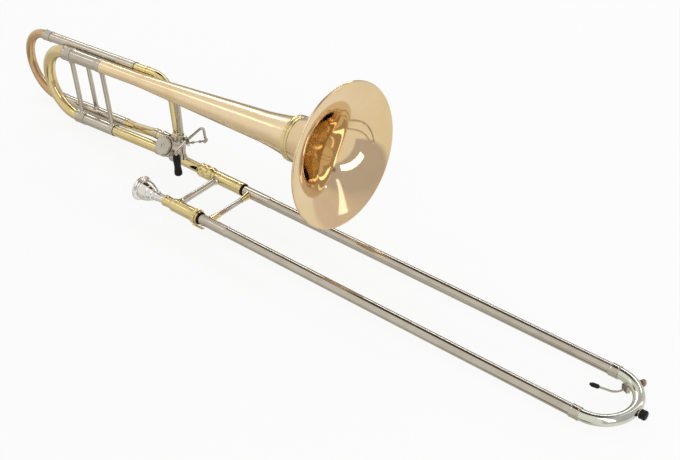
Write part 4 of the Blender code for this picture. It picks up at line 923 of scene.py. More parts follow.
@dataclass(frozen=True)
class Mouthpiece:
    """The cup mouthpiece, seated by its taper in the receiver."""

    length: float = 85.0
    rim_radius: float = 19.6
    rim_place: float = -67.0
    cup_radius: float = 12.8
    cup_depth: float = 24.0
    throat: float = 3.5
    shank: float = 6.3
    shank_end: float = 5.9

    def outside(self) -> Array:
        """Outline from rim to shank: rounded rim, waist, bowl, bead and taper.

        Returns:
            (height, radius) in millimetres.
        """
        rim = self.rim_radius
        side = [(0.25, rim - 3.2), (0.6, rim - 1.4), (2.0, rim), (3.6, rim - 0.25), (4.9, rim - 1.5),
                (6.0, rim - 4.1), (7.2, rim - 5.0), (8.6, rim - 4.6), (9.4, rim - 3.9), (12.0, rim - 3.8),
                (16.0, rim - 4.4), (20.0, rim - 5.4), (22.6, rim - 6.2), (23.4, rim - 7.4), (25.0, rim - 7.9),
                (28.0, rim - 8.8), (30.4, rim - 9.7), (31.2, rim - 11.0), (33.2, rim - 12.2),
                (35.6, self.shank + 0.7), (36.6, self.shank + 1.7), (38.4, self.shank + 1.7),
                (39.4, self.shank + 0.5), (50.0, self.shank), (self.length, self.shank_end)]
        return np.array(side)

    def inside(self) -> Array:
        """Outline from shank to rim: backbore, throat, and a cup of half-ellipse section.

        Returns:
            (height, radius) in millimetres.
        """
        share = np.linspace(0.97, 0.0, 14)
        radius = np.maximum(self.cup_radius * np.sqrt(1.0 - (0.94 * share) ** 2), self.throat)
        depth = 2.0 + (self.cup_depth - 3.0) * share
        bowl = np.stack([depth, radius], 1)
        backbore = np.array([(self.length, self.shank_end - 0.9), (self.cup_depth + 6.0, self.throat),
                             (self.cup_depth - 0.6, self.throat)])
        bite = np.array([(0.8, self.cup_radius + 0.6), (0.2, self.cup_radius + 2.4)])
        return np.concatenate([backbore, bowl, bite])

    def build(self, bench: Bench) -> None:
        """Build the mouthpiece.

        Args:
            bench: Where the piece goes.
        """
        corners = np.concatenate([self.outside(), self.inside()])
        outline = profile([tuple(row) for row in corners], 0.8, steps=5)
        outline[:, 0] += self.rim_place * MM
        piece = turned(SlideTubes().axis("near"), outline, 144)
        bench.fit("cup_mouthpiece", piece, Finish.SILVER, Body.MOUTHPIECE, "mouthpiece")


@dataclass(frozen=True)
class OuterSlide:
    """The moving half of the hand slide: tubes, brace, bow, ferrules and bumper."""

    tubes: SlideTubes = SlideTubes()
    start: float = 66.0
    sleeve_length: float = 53.0
    sleeve_step: float = 0.35
    joint: float = 709.0
    bow_start: float = 713.0
    bow_wall: float = 0.6
    ferrule_length: float = 13.0
    ferrule_wall: float = 0.7
    brace_place: float = 78.0
    brace_radius: float = 3.9
    foot_length: float = 15.0
    foot_radius: float = 5.6
    stud_turn: float = math.radians(119)
    stud_radius: float = 1.2
    stud_height: float = 4.5
    holder_radius: float = 4.6
    holder_length: float = 4.5
    bumper_radius: float = 6.3
    bumper_length: float = 9.5

    @property
    def apex(self) -> float:
        """Where the bow reaches furthest along X."""
        return self.bow_start + self.tubes.spacing / 2 + self.tubes.outer_radius

    def bow_path(self) -> Array:
        """Centre line of the bow: half a circle between the two tubes' ends.

        Returns:
            The points in metres.
        """
        half = self.tubes.spacing / 2 * MM
        lead = X * (self.joint + GAP / 2) * MM
        centre = X * self.bow_start * MM - Y * half
        bend = arc(centre, Y * half, X * half, math.pi, 60)
        return np.concatenate([lead[None], bend, (lead - Y * 2 * half)[None]])

    def tube(self, line: Line) -> Shape:
        """An outer tube with its thicker sleeve at the start, ended by a small bead.

        Args:
            line: The tube's axis.

        Returns:
            The tube.
        """
        radius, end, bore = self.tubes.outer_radius, self.start + self.sleeve_length, self.tubes.bore
        thick = radius + self.sleeve_step
        last = self.joint - GAP / 2
        side = [(self.start, thick), (end - 2.4, thick), (end - 2.1, thick + 0.3), (end - 0.6, thick + 0.3),
                (end - 0.3, thick), (end + 1.0, radius), (last, radius), (last, bore), (self.start, bore)]
        return turned(line, profile(side, 0.14, steps=3))

    def ferrule(self, line: Line) -> Shape:
        """A ferrule over the joint of tube and bow, with a bead at each end.

        Args:
            line: The tube's axis.

        Returns:
            The ferrule.
        """
        inner = self.tubes.outer_radius + GAP
        outer = inner + self.ferrule_wall
        start, end = self.bow_start - self.ferrule_length, self.bow_start
        body, bead = outer - 0.1, outer + 0.25
        side = [(start, inner), (start, body), (start + 0.6, bead), (start + 1.8, bead), (start + 2.4, body),
                (end - 2.4, body), (end - 1.8, bead), (end - 0.6, bead), (end, body), (end, inner)]
        return turned(line, profile(side, 0.3))

    def foot(self, line: Line, inward: Array) -> Shape:
        """A conical brace foot whose wide end sits on the sleeve.

        Its radius is slim + (wide - slim) (1 - share)^1.7 from the sleeve inwards.

        Args:
            line: The tube's axis.
            inward: Direction to the other tube.

        Returns:
            The foot.
        """
        seat = self.tubes.outer_radius + self.sleeve_step + GAP
        share = np.linspace(0.0, 1.0, 14)
        wide, slim = self.foot_radius + 0.7, self.brace_radius + 0.5
        radius = (slim + (wide - slim) * (1 - share) ** 1.7) * MM
        axis = Line.through(line.at(self.brace_place * MM), inward, X)
        return saddled(axis, (seat + self.foot_length) * MM, share, radius, (seat, 0.0))

    def bumper(self, line: Line) -> Shape:
        """The rubber cap over its holder, with moulded ribs.

        Args:
            line: The axis between the two tubes.

        Returns:
            The cap.
        """
        mouth, end = self.apex + 0.6, self.apex + self.bumper_length
        bore, radius = self.holder_radius + GAP, self.bumper_radius
        floor = self.apex + self.holder_length + GAP
        side = [(floor, 0.0), (floor, bore), (mouth, bore), (mouth, radius - 0.5), (mouth + 0.8, radius),
                (mouth + 2.6, radius), (mouth + 3.0, radius - 0.4), (mouth + 3.5, radius - 0.4),
                (mouth + 3.9, radius), (end - 1.2, radius), (end - 0.1, radius - 1.4), (end, 0.0)]
        return turned(line, profile(side, 0.5, False), 72)

    def lock_stud(self, line: Line) -> list[Shape]:
        """The stud and its foot on the near tube, which the slide lock's hook takes.

        Args:
            line: The near tube's axis.

        Returns:
            The stud and its foot.
        """
        size = self.tubes
        outward = -Y * math.sin(self.stud_turn) + Z * math.cos(self.stud_turn)
        foot = Line.through(line.at((size.barrel_end + 10.5) * MM), outward)
        top = size.outer_radius + self.sleeve_step + self.stud_height
        return [stud(foot, size.bore + 0.1, top, self.stud_radius),
                stud(foot, size.outer_radius, size.outer_radius + 1.0, 2.6)]

    def build(self, bench: Bench) -> None:
        """Build tubes, ferrules, bow, braces and bumper.

        Args:
            bench: Where the pieces go.
        """
        size, body = self.tubes, Body.OUTER_SLIDE
        for side, inward in (("near", Y), ("far", -Y)):
            line = size.axis(side)
            shapes = [self.tube(line)] + (self.lock_stud(line) if side == "near" else [])
            bench.fit(f"{side}_slide_tube", shapes, Finish.NICKEL, body, f"{side}_outer_tube")
            bench.fit(f"{side}_bow_ferrule", self.ferrule(line), Finish.NICKEL, body, f"crook_ferrule_{side}")
            bench.fit(f"{side}_brace_foot", self.foot(line, inward), Finish.YELLOW_BRASS, body,
                      f"outer_brace_foot_{side}")
        bow = swept(self.bow_path(), size.outer_radius * MM, self.bow_wall * MM, Z, 64)
        bench.fit("slide_bow", bow, Finish.BOW_NICKEL, body, "crook")
        reach = size.outer_radius + self.sleeve_step + GAP + self.foot_length + GAP
        bar = Line.through(X * self.brace_place * MM, -Y)
        bench.fit("slide_brace_bar", stud(bar, reach, size.spacing - reach, self.brace_radius),
                  Finish.NICKEL, body, "outer_slide_brace")
        line = Line.through(-Y * size.spacing / 2 * MM, X)
        holder = stud(line, self.apex - 0.9, self.apex + self.holder_length, self.holder_radius, 0.4, 48)
        bench.fit("bumper_cup", holder, Finish.NICKEL, body, "bumper_holder")
        bench.fit("slide_bumper", self.bumper(line), Finish.RUBBER, body, "bumper_rubber")


@dataclass(frozen=True)
class WaterKey:
    """The sprung drain lever on the slide's bow."""

    slide: OuterSlide = OuterSlide()
    turn: float = math.radians(28.5)
    tilt: float = math.radians(18)
    pivot_inset: float = 10.0
    pivot_drop: float = 6.0
    wire: float = 1.5
    tip_reach: float = 63.0
    tip_rise: float = 22.0
    knee_reach: float = 12.0
    knee_drop: float = 3.0
    arm_bend: float = 25.0
    nipple_radius: float = 3.0
    nipple_bore: float = 1.6
    nipple_height: float = 4.0
    cork_radius: float = 4.2
    cork_length: float = 3.6
    cup_thickness: float = 1.4
    barrel_radius: float = 2.9
    barrel_length: float = 9.0
    ear: float = 1.8
    pin: float = 1.1
    tip_radius: float = 2.9
    tip_length: float = 15.0

    @property
    def radial(self) -> Array:
        """Direction out of the bow at the water key."""
        return X * math.sin(self.turn) + Y * math.cos(self.turn)

    @property
    def along(self) -> Array:
        """Direction along the bow at the water key, which is its hinge's too."""
        return np.cross(Z, self.radial)

    @property
    def hinge(self) -> Line:
        """The hinge's axis."""
        return Line.through(self.place(-self.pivot_inset, -self.pivot_drop), self.along, Z)

    @property
    def nipple(self) -> Line:
        """The nipple's tilted axis, from the bow's centre line outwards."""
        return Line.through(self.drain(0.0), self.drain(1.0) - self.drain(0.0), self.along)

    @property
    def knee(self) -> Array:
        """Where the finger arm bends, in metres."""
        return self.place(-self.pivot_inset - self.knee_reach, -self.pivot_drop - self.knee_drop)

    @property
    def tip(self) -> Array:
        """Where the finger arm ends, in metres."""
        return self.place(-self.tip_reach, self.tip_rise)

    def place(self, out: float, rise: float = 0.0, aside: float = 0.0) -> Array:
        """Find a point at distances from the bow's centre line, in millimetres.

        Args:
            out: Distance out of the bow.
            rise: Distance up.
            aside: Distance along the bow.

        Returns:
            The point in metres.
        """
        half = self.slide.tubes.spacing / 2
        centre = X * self.slide.bow_start - Y * half + self.radial * half
        return (centre + self.radial * out + Z * rise + self.along * aside) * MM

    def drain(self, out: float, rise: float = 0.0) -> Array:
        """Point on the nipple's tilted axis, or square to it in the lever's plane."""
        c, s = math.cos(self.tilt), math.sin(self.tilt)
        return self.place(out * c + rise * s, rise * c - out * s)

    def saddle(self) -> list[Shape]:
        """Two ears under a bridge, with the hinge pin and its screw head.

        Returns:
            The bridge, the ears, the pin and the head.
        """
        axes = (self.radial, self.along, Z)
        out, rise = -self.pivot_inset, -self.pivot_drop
        width = self.barrel_length + 2 * self.ear
        bridge_rise = rise + self.barrel_radius + PLAY + self.ear / 2
        shapes = [block(self.place(out + 2.6, bridge_rise), axes, (6.5, width, self.ear), 0.4)]
        for sign in (-1, 1):
            offset = sign * (self.barrel_length / 2 + self.ear / 2)
            shapes.append(block(self.place(out, rise + 1.6, offset), axes,
                                (2 * self.pin + 3.2, self.ear, 2 * self.barrel_radius + 2.6), 0.7))
        half = width / 2
        shapes.append(stud(self.hinge, -half - 0.6, half + 0.6, self.pin, 0.2, 32))
        shapes.append(stud(self.hinge, half - 0.2, half + 0.6, 1.9, 0.3, 32))
        return shapes

    def lever(self) -> list[Shape]:
        """Cup, wire round the bow, hinge barrel and finger arm.

        Returns:
            The lever's shapes.
        """
        out, rise, wire = -self.pivot_inset, -self.pivot_drop, self.wire * MM
        start = self.slide.tubes.outer_radius + self.nipple_height + 0.6 + self.cork_length
        radius, edge = self.cork_radius, start + self.cup_thickness
        cup = [(start, 0.0), (start, radius), (start - 1.1, radius + 0.05), (start - 1.1, radius + 0.55),
               (start + 1.0, radius + 0.5), (edge, radius - 0.7), (edge + 0.3, 0.0)]
        low = -(self.slide.tubes.outer_radius + self.wire + 2.0)
        back = start + self.cup_thickness / 2 + 1.6
        wrap = bent([self.place(out + self.barrel_radius - 0.8, rise - 0.4), self.place(-2.0, low),
                     self.drain(back, -7.5), self.drain(back, 2.0)], [5 * MM, 4 * MM], math.radians(6))
        root = self.place(out - self.barrel_radius + 0.8, rise + 0.4)
        arm = bent([root, self.knee, self.tip], [self.arm_bend * MM])
        half = self.barrel_length / 2 - GAP
        return [turned(self.nipple, profile(cup, 0.3, False), 56), swept(wrap, wire, None, self.along, 24),
                ball(self.drain(back, 2.0), self.wire), swept(arm, wire, None, self.along, 24),
                hoop(self.hinge, -half, half, self.barrel_radius, self.pin + PLAY, 0.4, 48)]

    def build(self, bench: Bench) -> None:
        """Build saddle, nipple, lever, cork, spring and tip.

        Args:
            bench: Where the pieces go.
        """
        fixed, moving = Body.OUTER_SLIDE, Body.WATER_KEY
        bench.fit("drain_key_saddle", self.saddle(), Finish.NICKEL, fixed, "water_key_saddle")
        tube, radius = self.slide.tubes.outer_radius, self.nipple_radius
        top = tube + self.nipple_height
        side = [(tube - 1.2, self.nipple_bore), (tube - 1.2, radius + 1.4), (tube + 0.4, radius + 1.2),
                (tube + 1.6, radius), (top, radius - 0.3), (top, self.nipple_bore)]
        bench.fit("drain_nipple", turned(self.nipple, profile(side, 0.5), 56), Finish.NICKEL, fixed,
                  "water_key_nipple")
        cork = stud(self.nipple, top + GAP, top + GAP + self.cork_length, self.cork_radius - 0.1, 0.5, 48)
        bench.fit("drain_cork", cork, Finish.CORK, moving, "water_key_cork")
        bench.fit("drain_key_lever", self.lever(), Finish.NICKEL, moving, "water_key_lever")
        half = self.barrel_length / 2 - 0.9
        bench.fit("drain_key_spring", coil(self.hinge, -half, half, self.barrel_radius + 0.45, 0.35, 8.0),
                  Finish.SPRING_STEEL, moving)
        radius, bore, length = self.tip_radius, self.wire + GAP, self.tip_length
        side = [(0.3, 0.0), (0.3, bore), (-length, bore), (-length, radius - 0.5), (1.0 - length, radius),
                (-4.0, radius), (-1.0, radius - 0.9), (1.2, 0.0)]
        cap = turned(Line.through(self.tip, self.tip - self.knee), profile(side, 0.6, False), 48)
        bench.fit("drain_key_rubber_tip", cap, Finish.RUBBER, moving, "water_key_tip")


@dataclass(frozen=True)
class BellFrame:
    """Places in the bell section: distances back from the rim, down from the bell's axis, aside."""

    tilt: float = math.radians(3.76)
    reach: float = 408.3
    corner_x: float = -131.8
    spacing: float = 117.6
    f_offset: float = 27.0

    @property
    def ahead(self) -> Array:
        """Direction of the bell's mouth."""
        return X * math.cos(self.tilt) + Z * math.sin(self.tilt)

    @property
    def down(self) -> Array:
        """Direction from the bell's axis to the lower tubes."""
        return X * math.sin(self.tilt) - Z * math.cos(self.tilt)

    @property
    def rim(self) -> Array:
        """Middle of the bell's mouth, in metres."""
        return (X * self.corner_x + self.ahead * self.reach - self.down * self.spacing) * MM

    def place(self, back: float, down: float = 0.0, aside: float = 0.0) -> Array:
        """Point in metres at distances in millimetres."""
        return self.rim + (self.down * down - self.ahead * back + Y * aside) * MM

    def axis(self, down: float = 0.0, aside: float = 0.0) -> Line:
        """Line along the bell, heights towards the mouth from the plane of the rim."""
        return Line.through(self.place(0.0, down, aside), self.ahead)


@dataclass(frozen=True)
class Bell:
    """The bell's stem and its flare, which screws off."""

    frame: BellFrame = BellFrame()
    radius: float = 106.0
    wall: float = 0.6
    bead: float = 1.7
    horn_power: float = 0.655
    horn_length: float = 16.4
    cone_start: float = 420.0
    cone_end: float = 150.0
    stem_radius: float = 11.0
    joint: float = 84.0
    stem_end: float = 506.2
    ring_wall: float = 1.6

    def side_radius(self, back: Array | float) -> Array:
        """Outer radius at distances back from the rim.

        Near the mouth it is R (b / (b + back)) ** p. Behind it comes a straight cone, then a tube.

        Args:
            back: The distances, in millimetres.

        Returns:
            The radii in millimetres.
        """
        back = np.asarray(back, float)
        depth = self.horn_length + np.minimum(back, self.cone_end)
        horn = self.radius * (self.horn_length / depth) ** self.horn_power
        share = np.clip((back - self.cone_end) / (self.cone_start - self.cone_end), 0.0, 1.0)
        return horn + (self.stem_radius - horn) * share

    def slope(self, back: Array | float) -> Array:
        """Rise of the radius towards the mouth, over 0.4 mm about distances back from the rim."""
        return (self.side_radius(back - 0.2) - self.side_radius(back + 0.2)) / 0.4

    def side(self, back: Array, inset: float = 0.0) -> Array:
        """The wall's outline, set in square to the wall.

        Args:
            back: Distances back from the rim, in millimetres.
            inset: How far in from the outer side.

        Returns:
            (height, radius) in millimetres.
        """
        slope = self.slope(back)
        length = np.sqrt(1.0 + slope ** 2)
        return np.stack([-back + inset * slope / length, self.side_radius(back) - inset / length], 1)

    def rim_bead(self, back: float, steps: int = 24) -> Array:
        """The wall's edge rolled round a wire: from the back of the wall round to its front.

        Args:
            back: Where the wall meets the bead, back from the rim.
            steps: Points round the bead.

        Returns:
            (height, radius) in millimetres.
        """
        edge = self.side(np.array([back]), self.wall - self.bead)[0]
        slope = float(self.slope(back))
        length = math.sqrt(1.0 + slope ** 2)
        angle = np.linspace(math.acos(1.0 - self.wall / self.bead) - math.pi, math.pi, steps)
        out, along = self.bead * np.cos(angle), self.bead * np.sin(angle)
        return edge + np.stack([(along - out * slope) / length, (out + along * slope) / length], 1)

    def stem(self) -> Shape:
        """The tube from the tuning slide and the cone from there to the screw ring.

        Returns:
            The stem.
        """
        back = np.concatenate([np.linspace(self.stem_end, self.cone_start, 4),
                               np.linspace(self.cone_start, self.cone_end, 30)[1:],
                               np.linspace(self.cone_end, self.joint + GAP / 2, 24)[1:]])
        outline = np.concatenate([self.side(back), self.side(back, self.wall)[::-1]]) * MM
        return turned(self.frame.axis(), outline, 128)

    def flare(self) -> Shape:
        """The spun flare with its rolled rim.

        Returns:
            The flare.
        """
        narrowing = self.radius / (self.radius - 1.15 * self.bead)
        rim = self.horn_length * (narrowing ** (1 / self.horn_power) - 1)
        share = np.linspace(0.0, 1.0, 90)
        back = rim + (self.joint - GAP / 2 - rim) * (1.0 - share) ** 1.6
        outer = self.side(back[back > rim + 0.45])
        outline = np.concatenate([outer, self.rim_bead(rim), self.side(back[:-1], self.wall)[::-1]]) * MM
        return turned(self.frame.axis(), outline, 192)

    def ring(self, start: float, end: float, teeth: int = 96) -> Shape:
        """A screw ring: a rounded, knurled band with a fine line at each edge.

        Args:
            start: Distance back from the rim where it begins.
            end: Distance back where it ends.
            teeth: How many teeth its knurl has.

        Returns:
            The ring.
        """
        inner = self.side(np.linspace(start, end, 4), -GAP)
        radius = float(self.side_radius(self.joint)) + GAP + self.ring_wall
        length = start - end
        share = np.linspace(0.0, 1.0, 15)
        crown = radius - 0.5 + 0.5 * np.sin(math.pi * share) ** 0.5
        crown -= 0.35 * ((np.abs(share - 0.16) < 0.02) | (np.abs(share - 0.84) < 0.02))
        outer = np.stack([-start + length * share, crown], 1)
        rows = [tuple(row) for row in np.concatenate([outer, inner[::-1]])]
        band = knurl(-start + 0.3 * length, -end - 0.3 * length, teeth, 0.22)
        return turned(self.frame.axis(), profile(rows, 0.12, steps=2), teeth * 4, band)

    def build(self, bench: Bench) -> None:
        """Build stem, flare and the two screw rings.

        Args:
            bench: Where the pieces go.
        """
        fixed, loose = Body.BELL_SECTION, Body.BELL_FLARE
        behind, before = self.joint + GAP / 2, self.joint - GAP / 2
        bench.fit("bell_stem_cone", self.stem(), Finish.STEM_BRASS, fixed, "bell_stem")
        bench.fit("spun_bell_flare", self.flare(), Finish.GOLD_BRASS, loose, "bell_flare")
        brass = Finish.YELLOW_BRASS
        bench.fit("stem_screw_ring", self.ring(behind + 6.0, behind), brass, fixed, "stem_ring")
        bench.fit("flare_screw_ring", self.ring(before, before - 5.0), brass, loose, "flare_ring")


def bow_path(frame: BellFrame, start: float, depth: float, lead: float, aside: float = 0.0) -> Array:
    """Centre line of a tuning slide's bow: half an ellipse between its two straight ends.

    Args:
        frame: Where the bell section's tubes lie.
        start: Distance back from the rim of the bow's ends, in millimetres.
        depth: How deep the bend is.
        lead: Length of the straight ends.
        aside: Distance from the bell's plane.

    Returns:
        The points in metres.
    """
    middle = frame.place(start + lead, frame.spacing / 2, aside)
    bend = arc(middle, -frame.down * frame.spacing / 2 * MM, -frame.ahead * depth * MM, math.pi, 60)
    ends = frame.place(start, 0.0, aside)[None], frame.place(start, frame.spacing, aside)[None]
    return np.concatenate([ends[0], bend, ends[1]])


def slide_leg(line: Line, start: float, sleeve_start: float, insertion: float, radius: float,
              ferrule: float, wall: float) -> Shape:
    """A tuning slide's straight leg: its beaded ferrule outside the sleeve, its tube inside.

    Args:
        line: The leg's axis, heights towards the bell's mouth from the plane of its rim.
        start: Distance back from the rim where the bow begins, in millimetres.
        sleeve_start: Distance back of the sleeve's mouth.
        insertion: How deep the tube goes into the sleeve.
        radius: The tube's radius.
        ferrule: The ferrule's radius.
        wall: The tube's wall.

    Returns:
        The leg.
    """
    shoulder = sleeve_start + 0.6
    end = -sleeve_start + insertion
    edge, waist, bore = ferrule - 0.5, ferrule - 0.3, radius - wall
    side = [(-start, edge), (-start + 0.7, ferrule), (-start + 2.2, ferrule), (-start + 2.6, waist),
            (-shoulder - 2.6, waist), (-shoulder - 2.2, ferrule), (-shoulder - 0.6, ferrule),
            (-shoulder, edge), (-shoulder, radius), (end, radius), (end, bore), (-start, bore)]
    return turned(line, profile(side, 0.25, steps=3), 72)


def sleeve(line: Line, start: float, end: float, radius: float, wall: float, stand: float = 0.35,
           band: float = 2.4) -> Shape:
    """A tuning slide's outer sleeve, with a bead round its mouth and a raised band at its end.

    Args:
        line: The sleeve's axis, heights towards the bell's mouth from the plane of its rim.
        start: Distance back from the rim of its mouth, in millimetres.
        end: Distance back of its other end.
        radius: Its radius.
        wall: Its wall.
        stand: How far bead and band stand proud.
        band: The band's length.

    Returns:
        The sleeve.
    """
    proud, edge, line_radius = radius + stand, -end - band, radius - 0.25
    side = [(-start, radius), (-start + 0.3, proud), (-start + 2.2, proud), (-start + 2.6, radius),
            (edge - 0.9, radius), (edge - 0.8, line_radius), (edge - 0.1, line_radius), (edge, proud),
            (-end - 0.3, proud), (-end, radius), (-end, radius - wall), (-start, radius - wall)]
    return turned(line, profile(side, 0.2, steps=3), 80)


def seam(line: Line, height: float, radius: float, length: float = 0.8) -> Shape:
    """A dark ring 0.5 mm thick that fills the joint between two tubes, in millimetres: grease, and painted
    shade of the gap.
    """
    return hoop(line, height - length / 2, height + length / 2, radius, radius - 0.5, 0.1, 72, 2)


def collar(path: Array, index: int, radius: float, length: float, stand: float = 0.7) -> Shape:
    """A ferrule over a pipe at one of its path's points, with rounded edges.

    Args:
        path: The pipe's centre line, in metres.
        index: Which of its points lies in the ferrule's middle.
        radius: The pipe's radius in millimetres.
        length: The ferrule's length in millimetres.
        stand: How far it stands proud, in millimetres.

    Returns:
        The ferrule.
    """
    heading = path[min(index + 1, len(path) - 1)] - path[max(index - 1, 0)]
    line = Line.through(path[index], heading)
    half, inner, top = length / 2, radius + 0.05, radius + stand
    side = [(-half, inner), (-half, top - 0.15), (0.5 - half, top), (half - 0.5, top), (half, top - 0.15),
            (half, inner)]
    return turned(line, profile(side, 0.3), 72)


@dataclass(frozen=True)
class ValveFrame:
    """Places at the rotary valve: across along +X, up square to its axis, along towards the cap.

    The level ports reach stub_reach from its middle. The F pipe's ports stand port_across ahead of
    the middle and return_offset over it.
    """

    x: float = -102.8
    offset: float = 10.5
    tilt: float = math.radians(35)
    stub_reach: float = 24.0
    port_across: float = 4.0
    port_reach: float = 20.5
    return_offset: float = 10.0

    @property
    def axis(self) -> Array:
        """Direction of the valve's axis, out through the cap."""
        return -Y * math.cos(self.tilt) + Z * math.sin(self.tilt)

    @property
    def up(self) -> Array:
        """Direction square to the valve's axis and to +X."""
        return Y * math.sin(self.tilt) + Z * math.cos(self.tilt)

    def place(self, across: float = 0.0, up: float = 0.0, along: float = 0.0) -> Array:
        """Point in metres at distances in millimetres from the valve's middle."""
        return (X * (self.x + across) + self.up * (self.offset + up) + self.axis * along) * MM

    def line(self, across: float = 0.0, up: float = 0.0) -> Line:
        """Line along the valve's axis."""
        return Line.through(self.place(across, up), self.axis, X)


@dataclass(frozen=True)
class MainTubes:
    """The main tuning slide with its sleeves, the lower leg, the gooseneck and their braces."""

    frame: BellFrame = BellFrame()
    valve: ValveFrame = ValveFrame()
    wall: float = 0.5
    sleeve_start: float = 579.0
    sleeve_end: float = 506.5
    bow_start: float = 601.5
    bow_depth: float = 54.3
    bow_lead: float = 2.5
    insertion: float = 68.0
    upper_radius: float = 11.0
    lower_radius: float = 9.75
    leg_radius: float = 8.75
    leg_bend: float = 60.0
    ferrule_stand: float = 1.0
    brace_radius: float = 4.0
    tuning_brace: float = 588.0
    sleeve_brace: float = 513.0
    neck_radius: float = 7.75
    neck_wall: float = 0.6
    flange_start: float = -24.7
    flange_radius: float = 9.05

    def brace(self, back: float, tubes: tuple[float, float]) -> Shape:
        """Brace between the upper and the lower tube at a distance back, with their radii."""
        ends = self.frame.place(back), self.frame.place(back, self.frame.spacing)
        return saddled_bar(*ends, self.brace_radius, tubes, self.frame.ahead)

    def tuning_slide(self, bench: Bench) -> None:
        """Build the bow, its two legs and their brace.

        Args:
            bench: Where the pieces go.
        """
        frame, body = self.frame, Body.MAIN_TUNING
        path = bow_path(frame, self.bow_start + GAP, self.bow_depth, self.bow_lead)
        upper, lower = self.upper_radius - self.wall - 0.2, self.lower_radius - self.wall - 0.2
        radii = np.linspace(upper, lower, len(path)) * MM
        bench.fit("main_tuning_bow", swept(path, radii, self.wall * MM, Y, 64), Finish.YELLOW_BRASS, body,
                  "main_bow")
        ferrules = self.upper_radius + self.ferrule_stand, self.lower_radius + self.ferrule_stand
        seams = []
        for name, node, line, radius, ferrule in (
                ("upper_tuning_leg", "main_upper_leg", frame.axis(), upper, ferrules[0]),
                ("lower_tuning_leg", "main_lower_inner_leg", frame.axis(frame.spacing), lower, ferrules[1])):
            leg = slide_leg(line, self.bow_start, self.sleeve_start, self.insertion, radius, ferrule,
                            self.wall)
            bench.fit(name, leg, Finish.NICKEL, body, node)
            # Dark rings at the sleeve's mouth and the bow's joint: grease, and painted shade of the gaps
            seams += [seam(line, -self.sleeve_start - GAP, radius + 0.45),
                      seam(line, -self.bow_start - GAP / 2, radius + 0.55)]
        bench.fit("main_slide_grease_and_painted_shade", seams, Finish.DARK_GREASE_AND_SHADE, body)
        brace = self.brace(self.tuning_brace, (ferrules[0] - 0.3, ferrules[1] - 0.3))
        bench.fit("bow_brace", brace, Finish.NICKEL, body, "tuning_slide_brace")

    def fixed_tubes(self, bench: Bench) -> None:
        """Build the sleeves, the lower leg, the gooseneck and the sleeves' brace.

        Args:
            bench: Where the pieces go.
        """
        frame, body = self.frame, Body.BELL_SECTION
        start, end = self.sleeve_start, self.sleeve_end
        upper = sleeve(frame.axis(), start, end, self.upper_radius, self.wall, 0.6, 11.0)
        bench.fit("upper_tuning_sleeve", upper, Finish.NICKEL, body, "main_upper_sleeve")
        lower = sleeve(frame.axis(frame.spacing), start, end, self.lower_radius, self.wall)
        bench.fit("lower_tuning_sleeve", lower, Finish.NICKEL, body, "main_lower_sleeve")
        corner = X * frame.corner_x * MM
        port = X * (self.valve.x - self.valve.stub_reach - GAP) * MM
        path = bent([frame.place(end - GAP, frame.spacing), corner, port], [self.leg_bend * MM],
                    math.radians(0.5))
        leg = swept(path, self.leg_radius * MM, self.wall * MM, Y, 64)
        bench.fit("lower_bell_leg", leg, Finish.YELLOW_BRASS, body, "main_lower_leg")
        start, flange = self.valve.x + self.valve.stub_reach + GAP, self.flange_start
        radius, inner, wide = self.neck_radius, self.neck_radius - self.neck_wall, self.flange_radius
        side = [(start, radius), (flange, radius), (flange, wide), (flange + 1.9, wide),
                (flange + 1.9, radius), (-1.0, radius), (-1.0, inner), (start, inner)]
        neck = turned(Line.through(np.zeros(3), X), profile(side, 0.2, steps=3), 96)
        bench.fit("gooseneck_tube", neck, Finish.YELLOW_BRASS, body, "gooseneck")
        brace = self.brace(self.sleeve_brace, (self.upper_radius, self.lower_radius))
        bench.fit("tuning_sleeve_brace", brace, Finish.NICKEL, body, "sleeve_brace")

    def build(self, bench: Bench) -> None:
        """Build the main tubes."""
        self.tuning_slide(bench)
        self.fixed_tubes(bench)


